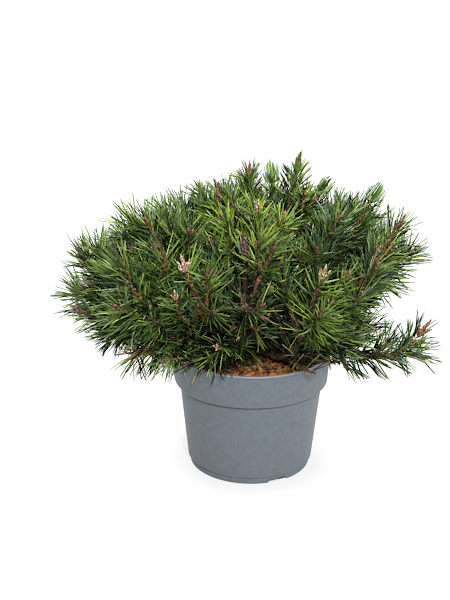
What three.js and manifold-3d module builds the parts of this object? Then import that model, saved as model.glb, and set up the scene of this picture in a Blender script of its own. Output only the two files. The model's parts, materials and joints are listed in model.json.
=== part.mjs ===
// Mugo pine in a round nursery pot: a low dome of needled shoots on short boughs.
// Millimetres, +Z up. The origin is on the pot's axis, at the level it stands on; -Y is the front.
import * as THREE from "three";
import { mergeVertices } from "three/addons/utils/BufferGeometryUtils.js";
import Module from "manifold-3d";

const wasm = await Module();
wasm.setup();

// ---------------------------------------------------------------- driving dimensions

const UP = new THREE.Vector3(0, 0, 1);
const CLEARANCE = 0.3;      // between two pieces that touch

const POT = {
  height: 137.5,
  wall: 2.4,
  footRadius: 66.5,         // outside of the foot ring
  footHeight: 7,
  footWidth: 5,
  footStep: 0.6,            // a fine step where the wall stands out over the foot ring
  floorUnder: 4,
  floorTop: 7.5,
  centreFootRadius: 20,     // flat pad level with the foot ring
  wallLowRadius: 68.6,
  wallLowHeight: 12,
  collarHeight: 99,         // underside of the collar
  wallHighRadius: 78.4,
  grooveDepth: 0.9,         // undercut where the wall meets the collar
  collarLowRadius: 84.6,
  collarHighRadius: 87.4,
  lipRadius: 88.5,
  lipHeight: 3,
  lipWidth: 3.4,
  edge: 0.9,                // width of the rounded edges
  meeting: 0.1,             // the inside steps out this far under the collar
  sides: 40,
  notches: 3,               // drainage notches in the foot ring
  notchFirst: 27,           // degrees from the front towards +X
  notchWidth: 22,
  notchHeight: 4.2,
  notchSlant: 0.11,         // share of the width that each slanted flank takes
};

const MIX = {
  top: 131,
  flatRadius: 17,           // flat spot under the trunk
  unevenness: 1.4,
  rings: 5,
  sides: 20,                // half the pot's, corner on corner
};

const TRUNK = {
  height: 50,
  lean: new THREE.Vector3(4, 3, 0),
  footRadius: 13,
  radius: 8.6,
  tipRadius: 6.4,
  flare: 7,                 // how fast the root flare fades, per height
  sides: 8,
  steps: 5,
};

const LIMB = {
  rootRadius: 5.4,          // of a bough on the trunk
  branchRadius: 3.9,        // of a bough on another bough
  tipRadius: 2.8,
  share: 0.92,              // of the parent's radius that a branch may have
  sweep: 0.5,               // share of its length over which it turns into its mass
  sides: 6,
  steps: 4,
};

const CROWN = {
  centre: new THREE.Vector3(0, 0, 150),
  leadLength: 1.05,         // leading shoot, over the distance from whorl to reach
  sideLength: 0.95,         // side shoots, likewise
  lengthJitter: 0.08,
  turnJitter: 6,            // degrees
};

const STEM = {
  behind: 3,                // the stem of a mass runs from behind its whorl
  ahead: 4,                 // to ahead of it
  radius: 3.2,
  taper: 0.8,
  sides: 6,
};

const SHOOT = {
  radius: 2.3,
  sides: 4,
  steps: 8,                 // of the curved axis
  taper: 0.8,               // its tip's radius over its foot's
  firstNeedles: 0.24,       // along the shoot
  needled: 0.58,            // share of it that carries needles
  bandPitch: 13,            // about the distance between two bands of needles
  bandTwist: 33,            // degrees from one band of needles to the next
  budRadius: 2.9,
  budFrom: 0.96,
  room: 6,                  // between the axes of two shoots
};

const NEEDLE = {
  length: 42,
  shortest: 16,
  shortening: 0.85,         // of a needle that has no room, until it has
  base: 2.2,                // along the shoot
  leanLow: 62,              // degrees from the shoot's axis, at its foot
  leanHigh: 42,             // and at its tip
  part: 10,                 // degrees from each needle of a pair to their middle
  jitter: 5,                // degrees
  room: 2,                  // kept to the next shoot's space
  samples: 6,
};

// Every mass of foliage: where it grows, seen from the crown's centre. The azimuth is from the
// front towards +X and the rise is above the level, in degrees; the reach is to its buds, in mm.
// The whorl, where the shoots part, is at a fraction of the reach. The first shoot leads and the
// others stand round it at the spread angle, the first of them at the twist angle. The lift is
// how much the mass leans up from the radial direction, and the upturn is how far its shoots
// bend up, over their length. The bough of the mass leaves its parent at along.
const MASSES = [
  // name, azimuth, rise, reach, whorl, shoots, spread, twist, lift, upturn, parent, along
  ["front", -6, 38, 184, 0.5, 3, 19, -10, 1.9, 0.04, "trunk", 0.62],
  ["front_right", 31, 16, 190, 0.5, 4, 26, 0, 1.6, 0.06, "trunk", 0.36],
  ["right_front", 58, 20, 192, 0.58, 3, 28, 20, 1.1, 0.1, "trunk", 0.84],
  ["right", 98, 24, 197, 0.6, 4, 26, 50, 0.7, 0.12, "trunk", 0.5],
  ["back_right", 142, 30, 190, 0.62, 4, 40, 30, 0.18, 0.08, "trunk", 0.8],
  ["back", -176, 32, 180, 0.62, 3, 40, 90, 0.18, 0.08, "trunk", 0.4],
  ["back_left", -136, 22, 190, 0.62, 4, 40, 0, 0.18, 0.08, "trunk", 0.76],
  ["left", -93, 10.5, 203, 0.62, 3, 28, 85, 0.7, 0.12, "trunk", 0.42],
  ["front_left", -56, 20, 197, 0.6, 4, 30, 60, 0.8, 0.1, "trunk", 0.84],
  ["top_front", 2, 51, 184, 0.55, 4, 26, 30, 1.5, 0.08, "trunk", 1],
  ["upper_right_front", 50, 46, 183, 0.6, 3, 30, 20, 0.8, 0.08, "right_front", 0.5],
  ["upper_right", 106, 43, 184, 0.62, 3, 30, -20, 0.2, 0.08, "right", 0.5],
  ["top_right", 136, 66, 177, 0.6, 3, 30, 2, 0.24, 0.08, "top_front", 0.3],
  ["top_back", -178, 58, 167, 0.62, 3, 34, 30, 0.18, 0.08, "top_front", 0.45],
  ["top_left", -60, 74, 173, 0.62, 3, 32, 0, 0.18, 0.08, "top_front", 0.65],
  ["upper_back_left", -105, 50, 163, 0.62, 3, 36, 0, 0.18, 0.08, "back_left", 0.5],
  ["upper_left", -65, 43, 188, 0.6, 3, 37, 30, 0.5, 0.08, "front_left", 0.5],
  ["front_left_inner", -36, 26, 184, 0.5, 3, 24, -10, 1.2, 0.08, "front", 0.4],
  ["front_low", -22, -1, 103, 0.5, 3, 40, 30, 0.5, 0, "front", 0.3],
  ["front_right_low", 46, 4, 142, 0.6, 3, 36, -20, 0.8, 0, "front_right", 0.4],
  ["right_low", 82, -7, 190, 0.5, 1, 0, 0, -0.17, 0.62, "right", 0.35],
  ["back_right_low", 136, 8, 186, 0.62, 3, 42, 20, 0.18, 0.08, "back_right", 0.4],
  ["back_low", 178, 4, 185, 0.62, 3, 42, 0, 0.18, 0.08, "back", 0.4],
  ["back_left_low", -134, 6, 185, 0.62, 3, 42, 40, 0.18, 0.08, "back_left", 0.4],
  ["left_low", -84, 2.5, 184, 0.62, 3, 30, 20, 0.25, 0.1, "left", 0.4],
  ["front_left_under", -58, 3, 138, 0.58, 3, 34, 0, 0.1, -0.04, "front_left", 0.3],
  ["front_left_low", -50, 8, 180, 0.5, 3, 30, 30, 0.8, 0.1, "front_left", 0.4],
  ["front_middle", -4, 33, 140, 0.8, 1, 0, 0, 0, 0, "front_low", 0.5],
];

// ---------------------------------------------------------------- small tools

const radians = THREE.MathUtils.degToRad;
const mix = THREE.MathUtils.lerp;

// A seeded run of numbers from 0 to 1.
function randomRun(seed) {
  let state = (seed * 7919 + 12345) % 2147483647;
  return () => {
    state = (state * 16807) % 2147483647;
    return state / 2147483647;
  };
}

// The unit vector that points to an azimuth and a rise.
function bearing(azimuth, rise) {
  const level = Math.cos(radians(rise));
  const x = Math.sin(radians(azimuth)) * level;
  const y = -Math.cos(radians(azimuth)) * level;
  return new THREE.Vector3(x, y, Math.sin(radians(rise)));
}

function along(point, direction, distance) {
  return point.clone().addScaledVector(direction, distance);
}

// Two unit vectors square to a direction that isn't upright: one to the side and one on top.
function crossAxes(direction) {
  const side = new THREE.Vector3().crossVectors(UP, direction).normalize();
  const top = new THREE.Vector3().crossVectors(direction, side).normalize();
  return [side, top];
}

// Directions and side vectors along a path, with the side vector carried on without twist.
// The last direction may be given.
function framesAlong(path, lastDirection = null) {
  const frames = [];
  let side = null;
  path.forEach((point, i) => {
    const next = path[Math.min(i + 1, path.length - 1)];
    const last = path[Math.max(i - 1, 0)];
    const given = i === path.length - 1 ? lastDirection : null;
    const direction = given ?? new THREE.Vector3().subVectors(next, last).normalize();
    side = side ? side.clone().projectOnPlane(direction).normalize() : crossAxes(direction)[0];
    const top = new THREE.Vector3().crossVectors(direction, side);
    frames.push({ point, direction, side, top });
  });
  return frames;
}

// A ring of corners round one place on a path.
function ringAt(frame, radius, sides, turn = 0) {
  return Array.from({ length: sides }, (_, k) => {
    const angle = turn + (2 * Math.PI * k) / sides;
    const corner = along(frame.point, frame.side, radius * Math.cos(angle));
    return corner.addScaledVector(frame.top, radius * Math.sin(angle));
  });
}

function meshFrom(corners, faces) {
  const geometry = new THREE.BufferGeometry();
  const positions = corners.flatMap((corner) => [corner.x, corner.y, corner.z]);
  geometry.setAttribute("position", new THREE.Float32BufferAttribute(positions, 3));
  geometry.setIndex(faces.flat());
  return geometry;
}

// A closed skin over rings of corners, ending flat at both ends.
function skin(rings) {
  const sides = rings[0].length;
  const faces = [];
  for (let i = 0; i < rings.length - 1; i += 1) {
    for (let k = 0; k < sides; k += 1) {
      const a = i * sides + k;
      const b = i * sides + ((k + 1) % sides);
      faces.push([a, b, b + sides], [a, b + sides, a + sides]);
    }
  }
  const top = (rings.length - 1) * sides;
  for (let k = 1; k < sides - 1; k += 1) {
    faces.push([0, k + 1, k], [top, top + k, top + k + 1]);
  }
  return meshFrom(rings.flat(), faces);
}

function tube(frames, radii, sides) {
  return skin(frames.map((frame, i) => ringAt(frame, radii[i], sides)));
}

// A closed mesh as a solid, with its seam merged and its flat triangles left out.
function toSolid(geometry) {
  const bare = geometry.clone();
  bare.deleteAttribute("normal");
  bare.deleteAttribute("uv");
  const merged = mergeVertices(bare, 1e-4);
  const corners = [...merged.index.array];
  const kept = [];
  for (let i = 0; i < corners.length; i += 3) {
    const face = corners.slice(i, i + 3);
    if (new Set(face).size === 3) {
      kept.push(...face);
    }
  }
  const vertProperties = new Float32Array(merged.attributes.position.array);
  const triVerts = new Uint32Array(kept);
  return new wasm.Manifold(new wasm.Mesh({ numProp: 3, vertProperties, triVerts }));
}

// The largest body of a solid, as a three.js geometry.
function toGeometry(solid) {
  const bodies = solid.decompose().sort((a, b) => b.volume() - a.volume());
  const { vertProperties, triVerts } = bodies[0].getMesh();
  const geometry = new THREE.BufferGeometry();
  geometry.setAttribute("position", new THREE.BufferAttribute(vertProperties, 3));
  geometry.setIndex(new THREE.BufferAttribute(triVerts, 1));
  return geometry;
}

// How near a point is to a path.
function distanceTo(path, point) {
  const nearest = new THREE.Vector3();
  let least = Infinity;
  for (let i = 0; i < path.length - 1; i += 1) {
    new THREE.Line3(path[i], path[i + 1]).closestPointToPoint(point, true, nearest);
    least = Math.min(least, nearest.distanceTo(point));
  }
  return least;
}

// ---------------------------------------------------------------- pot and potting mix

// The inside radius of the pot at a height.
function potInside(height) {
  const { wallLowHeight, collarHeight, wallLowRadius, wallHighRadius, wall } = POT;
  if (height < collarHeight) {
    const rise = (height - wallLowHeight) / (collarHeight - wallLowHeight);
    return mix(wallLowRadius, wallHighRadius, rise) - wall;
  }
  const rise = (height - collarHeight) / (POT.height - collarHeight);
  return mix(POT.collarLowRadius, POT.collarHighRadius, rise) - wall;
}

// The pot's section, from the centre of its underside, up its outside and down its inside.
function potProfile() {
  const { height, footRadius, footHeight, footStep, wallHighRadius, collarHeight, edge } = POT;
  const { collarLowRadius, collarHighRadius, lipHeight, lipRadius, lipWidth } = POT;
  const footInside = footRadius - POT.footWidth;
  const lipLow = height - lipHeight;
  const belowCollar = collarHeight - POT.meeting;
  const shoulder = collarHeight + POT.wall;
  return [
    [0, 0],
    [POT.centreFootRadius, 0],
    [POT.centreFootRadius + 2 * edge, POT.floorUnder],
    [footInside - edge, POT.floorUnder],
    [footInside, 0],
    [footRadius - edge, 0],
    [footRadius, edge],
    [footRadius + footStep / 2, footHeight],
    [footRadius + footStep * 1.5, footHeight + footStep],
    [POT.wallLowRadius, POT.wallLowHeight],
    [wallHighRadius, collarHeight - 3 * edge],
    [wallHighRadius - POT.grooveDepth, collarHeight],
    [collarLowRadius - edge, collarHeight],
    [collarLowRadius, collarHeight + edge],
    [collarHighRadius, lipLow - edge],
    [lipRadius, lipLow],
    [lipRadius, height - edge],
    [lipRadius - edge, height],
    [lipRadius - lipWidth, height],
    [potInside(lipLow), lipLow],
    [potInside(shoulder), shoulder],
    [potInside(belowCollar), belowCollar],
    [potInside(POT.floorTop), POT.floorTop],
    [0, POT.floorTop],
  ].map(([radius, level]) => new THREE.Vector2(radius, level));
}

// A body turned round the vertical axis, from a profile of radius and level.
function turned(profile, sides) {
  const geometry = new THREE.LatheGeometry(profile, sides);
  geometry.rotateX(Math.PI / 2);
  return geometry;
}

// A wedge that cuts one drainage notch, with slanted flanks.
function notchCutter(azimuth) {
  const first = azimuth - POT.notchWidth / 2;
  const last = azimuth + POT.notchWidth / 2;
  const slant = POT.notchWidth * POT.notchSlant;
  const corner = (radius, level, angle) => {
    return bearing(angle, 0).multiplyScalar(radius).setZ(level);
  };
  const section = (radius) => [
    corner(radius, -POT.edge, first),
    corner(radius, -POT.edge, last),
    corner(radius, POT.notchHeight, last - slant),
    corner(radius, POT.notchHeight, first + slant),
  ];
  const inside = POT.footRadius - 1.5 * POT.footWidth;
  const outside = POT.footRadius + POT.footWidth;
  return skin([section(inside), section(outside)]);
}

function potBody() {
  let body = toSolid(turned(potProfile(), POT.sides));
  for (let k = 0; k < POT.notches; k += 1) {
    const azimuth = POT.notchFirst + (360 * k) / POT.notches;
    body = body.subtract(toSolid(notchCutter(azimuth)));
  }
  return toGeometry(body);
}

// The mix fills the pot; its top is flat under the trunk and uneven round it.
function pottingMix() {
  const random = randomRun(3);
  const { collarHeight, wall, floorTop } = POT;
  const edge = MIX.top - MIX.unevenness;
  const around = (radius, level) => {
    return Array.from({ length: MIX.sides }, (_, k) => {
      return bearing((360 * k) / MIX.sides, 0).multiplyScalar(radius).setZ(level());
    });
  };
  const sides = [
    [floorTop, floorTop + CLEARANCE],
    [collarHeight - POT.meeting, collarHeight + 2 * CLEARANCE],
    [collarHeight + wall, collarHeight + wall + 2 * CLEARANCE],
    [edge, edge],
  ];
  const rings = sides.map(([wallAt, level]) => around(potInside(wallAt) - CLEARANCE, () => level));
  for (let i = 1; i <= MIX.rings; i += 1) {
    const radius = mix(potInside(edge) - CLEARANCE, MIX.flatRadius, i / MIX.rings);
    const bump = i < MIX.rings ? MIX.unevenness : 0;
    rings.push(around(radius, () => MIX.top - random() * bump));
  }
  return skin(rings);
}

// ---------------------------------------------------------------- trunk and boughs

const trunkFoot = new THREE.Vector3(0, 0, MIX.top + CLEARANCE);

function trunkAxis(share) {
  return along(trunkFoot, UP, TRUNK.height * share).addScaledVector(TRUNK.lean, share);
}

function trunkRadius(share) {
  const flare = (TRUNK.footRadius - TRUNK.radius) * Math.exp(-TRUNK.flare * share);
  return mix(TRUNK.radius, TRUNK.tipRadius, share) + flare;
}

// A limb is a run of frames with their radii; grown, it holds the clearance round it too.
function limbSolid({ frames, radii, sides }, grown = 0) {
  const last = frames.length - 1;
  const moved = frames.map((frame, i) => {
    const shift = (i === last ? grown : 0) - (i === 0 ? grown : 0);
    return { ...frame, point: along(frame.point, frame.direction, shift) };
  });
  const facet = Math.cos(Math.PI / sides);
  return toSolid(tube(moved, radii.map((radius) => radius + grown / facet), sides));
}

// The trunk's sections are level, so its foot and its top are cut flat.
function trunkLimb() {
  const shares = Array.from({ length: TRUNK.steps + 1 }, (_, i) => (i / TRUNK.steps) ** 1.5);
  const path = shares.map(trunkAxis);
  const [side, top] = [new THREE.Vector3(1, 0, 0), new THREE.Vector3(0, 1, 0)];
  const frames = path.map((point) => ({ point, direction: UP, side, top }));
  return { path, frames, radii: shares.map(trunkRadius), sides: TRUNK.sides };
}

// The point and the radius of a limb at a share of its length.
function placeOn(limb, share) {
  const step = share * (limb.path.length - 1);
  const i = Math.min(Math.floor(step), limb.path.length - 2);
  const point = limb.path[i].clone().lerp(limb.path[i + 1], step - i);
  return { point, radius: mix(limb.radii[i], limb.radii[i + 1], step - i) };
}

// A bough sweeps out from its parent and turns into the stem of its mass.
function boughLimb(mass, parent) {
  const { point, radius } = placeOn(parent, mass.along);
  const end = along(mass.whorl, mass.lead, -STEM.behind - CLEARANCE);
  const bend = along(end, mass.lead, -LIMB.sweep * end.distanceTo(point));
  const curve = new THREE.QuadraticBezierCurve3(point, bend, end);
  const path = curve.getPoints(LIMB.steps);
  const thick = mass.parent === "trunk" ? LIMB.rootRadius : LIMB.branchRadius;
  const root = Math.min(thick, radius * LIMB.share);
  const radii = path.map((_, i) => mix(root, LIMB.tipRadius, i / LIMB.steps));
  return { path, frames: framesAlong(path, mass.lead), radii, sides: LIMB.sides };
}

// ---------------------------------------------------------------- masses of foliage

// One mass of the table, with its whorl and the axes of its shoots.
function layOut(row, index) {
  const [name, azimuth, rise, reach, whorlAt, count, spread, twist] = row;
  const [lift, upturn, parent, at] = row.slice(8);
  const random = randomRun(index + 1);
  const out = bearing(azimuth, rise);
  const whorl = along(CROWN.centre, out, reach * whorlAt);
  const lead = along(out, UP, lift).normalize();
  const [side, top] = crossAxes(lead);
  const stride = reach * (1 - whorlAt);
  const shoots = [];
  for (let k = 0; k < count; k += 1) {
    const length = stride * (k ? CROWN.sideLength : CROWN.leadLength);
    const stretch = 1 + CROWN.lengthJitter * (2 * random() - 1);
    const lean = k ? radians(spread + CROWN.turnJitter * (2 * random() - 1)) : 0;
    const turn = radians(twist + (360 * (k - 1)) / Math.max(count - 1, 1));
    const direction = lead.clone().multiplyScalar(Math.cos(lean));
    direction.addScaledVector(side, Math.sin(lean) * Math.cos(turn));
    direction.addScaledVector(top, Math.sin(lean) * Math.sin(turn));
    shoots.push(shootAxis(whorl, direction, length * stretch, upturn));
  }
  return { name, index, whorl, lead, shoots, parent, along: at };
}

function shootAxis(whorl, direction, length, upturn) {
  return Array.from({ length: SHOOT.steps + 1 }, (_, i) => {
    const share = i / SHOOT.steps;
    const point = along(whorl, direction, length * share);
    return point.addScaledVector(UP, length * upturn * share ** 3);
  });
}

function clearOfPot(point, room) {
  const radius = Math.hypot(point.x, point.y);
  return radius > POT.lipRadius + room || point.z > POT.height + room;
}

function clearOfLimbs(point, room, limbs) {
  return limbs.every(({ path, radii }) => distanceTo(path, point) > Math.max(...radii) + room);
}

// Whether a shoot has room beside the pot, the limbs and the shoots that stand already.
function shootFits(axis, mass, limbs, standing) {
  const others = standing.filter((shoot) => shoot.mass !== mass);
  return axis.slice(2).every((point) => {
    return clearOfPot(point, SHOOT.radius + 1)
      && clearOfLimbs(point, SHOOT.radius + 1, limbs)
      && others.every((shoot) => distanceTo(shoot.axis, point) > SHOOT.room);
  });
}

// A needle keeps to the space that is nearer to its own shoot than to any other.
function needleFits(foot, tip, own, world) {
  const point = new THREE.Vector3();
  for (let i = 1; i <= NEEDLE.samples; i += 1) {
    point.lerpVectors(foot, tip, i / NEEDLE.samples);
    if (!clearOfPot(point, NEEDLE.room) || !clearOfLimbs(point, NEEDLE.room, world.limbs)) {
      return false;
    }
    const home = distanceTo(own.axis, point) + NEEDLE.room;
    const others = world.shoots.filter((shoot) => shoot !== own);
    if (others.some((shoot) => distanceTo(shoot.axis, point) < home)) {
      return false;
    }
  }
  return true;
}

// The tip of one needle, shortened until it fits, or null where it has no room.
function needleTip(foot, direction, own, world) {
  for (let length = NEEDLE.length; length >= NEEDLE.shortest; length *= NEEDLE.shortening) {
    const tip = along(foot, direction, length);
    if (needleFits(foot, tip, own, world)) {
      return tip;
    }
  }
  return null;
}

// The sections of a shoot: its foot, two close ones at each band of needles, and its bud.
function shootSections(length) {
  const bands = Math.max(2, Math.round((length * SHOOT.needled) / SHOOT.bandPitch));
  const half = NEEDLE.base / 2 / length;
  const sections = [{ share: 0, radius: SHOOT.radius, turn: 0 }];
  for (let i = 0; i < bands; i += 1) {
    const share = SHOOT.firstNeedles + (SHOOT.needled * i) / (bands - 1);
    const turn = radians(SHOOT.bandTwist * (i + 1));
    const radius = SHOOT.radius * mix(1, SHOOT.taper, share);
    sections.push({ share: share - half, radius, turn });
    sections.push({ share: share + half, radius, turn, needled: true });
  }
  const { turn } = sections[sections.length - 1];
  sections.push({ share: SHOOT.budFrom, radius: SHOOT.budRadius, turn });
  return sections;
}

// Where a needle points: out from the shoot at an angle round it, and leaning to its bud.
function needleDirection(frame, share, angle, random) {
  const around = angle + radians(NEEDLE.jitter * (2 * random() - 1));
  const lean = mix(NEEDLE.leanLow, NEEDLE.leanHigh, share) + NEEDLE.jitter * (2 * random() - 1);
  const outward = frame.side.clone().multiplyScalar(Math.cos(around));
  outward.addScaledVector(frame.top, Math.sin(around));
  const direction = frame.direction.clone().multiplyScalar(Math.cos(radians(lean)));
  direction.addScaledVector(outward, Math.sin(radians(lean)));
  return { outward, direction };
}

// A shoot is a slim core that ends in a bud. Short bands of its skin carry the needles, in
// pairs: each half of a facet is drawn out to one needle, which leans towards the bud.
function shootGeometry(own, world, random) {
  const curve = new THREE.CatmullRomCurve3(own.axis);
  const sections = shootSections(curve.getLength());
  const frames = framesAlong([...sections.map(({ share }) => share), 1].map((t) => curve.getPointAt(t)));
  const { sides } = SHOOT;
  const corners = sections.flatMap(({ radius, turn }, i) => ringAt(frames[i], radius, sides, turn));
  const faces = [];

  const addHalf = (face, section, frame, angle) => {
    const { outward, direction } = needleDirection(frame, section.share, angle, random);
    const foot = along(frame.point, outward, SHOOT.radius);
    const tip = section.needled ? needleTip(foot, direction, own, world) : null;
    if (!tip) {
      faces.push(face);
      return;
    }
    const apex = corners.push(tip) - 1;
    face.forEach((corner, i) => faces.push([corner, face[(i + 1) % 3], apex]));
  };

  sections.slice(1).forEach((section, row) => {
    for (let k = 0; k < sides; k += 1) {
      const a = row * sides + k;
      const b = row * sides + ((k + 1) % sides);
      const middle = section.turn + (2 * Math.PI * (k + 0.5)) / sides;
      const part = radians(NEEDLE.part);
      addHalf([a, b, b + sides], section, frames[row], middle + part);
      addHalf([a, b + sides, a + sides], section, frames[row], middle - part);
    }
  });

  const rim = (sections.length - 1) * sides;
  const bud = corners.push(frames[frames.length - 1].point) - 1;
  for (let k = 0; k < sides; k += 1) {
    faces.push([rim + k, rim + ((k + 1) % sides), bud]);
  }
  for (let k = 1; k < sides - 1; k += 1) {
    faces.push([0, k + 1, k]);
  }
  return meshFrom(corners, faces);
}

function massGeometry(mass, world) {
  const random = randomRun(mass.index + MASSES.length + 1);
  const ends = [along(mass.whorl, mass.lead, -STEM.behind), along(mass.whorl, mass.lead, STEM.ahead)];
  const radii = [STEM.radius, STEM.radius * STEM.taper];
  let body = toSolid(tube(framesAlong(ends), radii, STEM.sides));
  for (const own of world.shoots.filter((shoot) => shoot.mass === mass)) {
    body = body.add(toSolid(shootGeometry(own, world, random)));
  }
  return toGeometry(body);
}

// ---------------------------------------------------------------- the whole plant

const POT_PLASTIC = { color: 0x757d86, roughness: 0.5, metalness: 0 };
const BARK_CHIPS = { color: 0x8a5a34, roughness: 0.95, metalness: 0 };
const BARK = { color: 0x5a4030, roughness: 0.9, metalness: 0 };
const FOLIAGE = { color: 0x4f6b35, roughness: 0.6, metalness: 0 };

function piece(name, geometry, look) {
  const mesh = new THREE.Mesh(geometry, new THREE.MeshStandardMaterial(look));
  mesh.name = name;
  return mesh;
}

function plant() {
  const group = new THREE.Group();
  group.add(piece("pot", potBody(), POT_PLASTIC));
  group.add(piece("potting_mix", pottingMix(), BARK_CHIPS));

  const limbs = { trunk: trunkLimb() };
  group.add(piece("trunk", toGeometry(limbSolid(limbs.trunk)), BARK));

  const masses = MASSES.map(layOut);
  for (const mass of masses) {
    const limb = boughLimb(mass, limbs[mass.parent]);
    let body = limbSolid(limb);
    for (const other of Object.values(limbs)) {
      body = body.subtract(limbSolid(other, CLEARANCE));
    }
    group.add(piece(`bough_${mass.name}`, toGeometry(body), BARK));
    limbs[mass.name] = limb;
  }

  const world = { limbs: Object.values(limbs), shoots: [] };
  for (const mass of masses) {
    const room = mass.shoots.filter((axis) => shootFits(axis, mass, world.limbs, world.shoots));
    world.shoots.push(...room.map((axis) => ({ mass, axis })));
  }
  for (const mass of masses) {
    group.add(piece(`foliage_${mass.name}`, massGeometry(mass, world), FOLIAGE));
  }
  return group;
}

export default plant();
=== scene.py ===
# Mugo pine in a round nursery pot: its finishes, needles, buds, bark and potting mix.
# Shapes are worked out in millimetres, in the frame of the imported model, and made in metres.
# The front is towards -Y, and an azimuth turns from there towards +X.
import json
import math

import bpy
import numpy as np
from mathutils import Matrix, Vector, noise

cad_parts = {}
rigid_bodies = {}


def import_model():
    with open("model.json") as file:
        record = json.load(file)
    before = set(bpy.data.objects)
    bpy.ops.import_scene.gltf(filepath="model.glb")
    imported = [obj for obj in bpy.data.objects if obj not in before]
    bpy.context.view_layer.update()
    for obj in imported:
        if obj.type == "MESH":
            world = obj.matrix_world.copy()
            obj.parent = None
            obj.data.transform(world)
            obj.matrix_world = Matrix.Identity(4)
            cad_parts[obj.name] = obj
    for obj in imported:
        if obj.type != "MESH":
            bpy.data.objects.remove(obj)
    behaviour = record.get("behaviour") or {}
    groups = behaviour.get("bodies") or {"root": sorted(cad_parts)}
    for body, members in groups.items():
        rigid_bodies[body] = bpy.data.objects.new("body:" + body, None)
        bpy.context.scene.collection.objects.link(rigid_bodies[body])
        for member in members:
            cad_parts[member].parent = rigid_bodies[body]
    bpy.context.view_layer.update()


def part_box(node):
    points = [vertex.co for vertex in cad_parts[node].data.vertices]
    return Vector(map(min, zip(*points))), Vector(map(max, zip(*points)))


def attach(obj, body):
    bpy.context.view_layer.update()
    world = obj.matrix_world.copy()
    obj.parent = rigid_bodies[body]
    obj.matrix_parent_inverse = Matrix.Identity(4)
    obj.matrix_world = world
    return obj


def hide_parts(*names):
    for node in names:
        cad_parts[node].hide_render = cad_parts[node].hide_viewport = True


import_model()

MM = 0.001
UP = np.array([0.0, 0.0, 1.0])
GOLDEN_ANGLE = math.radians(137.5)
SEEDS = dict(needles=3, chips=5, heart=11, masses=100)

# ---------------------------------------------------------------- driving dimensions, mm

POT_HIGH = np.array(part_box("pot")[1]) / MM
MIX_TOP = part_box("potting_mix")[1][2] / MM
CLEARANCE = 0.3

POT = dict(
    height=POT_HIGH[2],
    lip_radius=POT_HIGH[0],
    lip_height=3.0,
    lip_width=3.4,
    wall=2.4,
    foot_radius=66.5,  # outside of the foot ring
    foot_height=7.0,
    foot_width=5.0,
    floor_under=4.0,
    floor_top=7.5,
    centre_foot=20.0,  # flat pad level with the foot ring
    wall_low=68.6,
    wall_low_height=12.0,
    wall_high=78.4,
    collar_height=99.0,
    collar_low=84.6,
    collar_high=87.4,
    groove=0.9,
    meeting=0.1,  # the inside steps out this far under the collar
    notches=3,  # drainage notches in the foot ring
    notch_first=27.0,  # degrees
    notch_width=22.0,  # degrees
    notch_height=4.2,
    notch_slant=0.11,  # share of the width that each slanted flank takes
)
# radii of the pot's rounded edges
EDGE = dict(pad=1.0, foot=1.6, shoulder=2.4, waist=1.4, collar=1.8, lip=1.1, rim=0.8)

TRUNK = dict(height=50.0, lean=(4.0, 3.0), foot=13.0, radius=8.6, tip=6.4, flare=7.0)
LIMB = dict(root=5.4, branch=3.9, tip=2.8, share=0.92, sweep=0.5, steps=4)
STEM_BEHIND = 3.0
CENTRE = np.array([0.0, 0.0, 150.0])
LEAD_LENGTH, SIDE_LENGTH = 1.05, 0.95
LENGTH_JITTER, TURN_JITTER = 0.08, 6.0
SHOOT_STEPS = 8
SHOOT_RADIUS = 2.3
SHOOT_ROOM = 6.0

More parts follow.
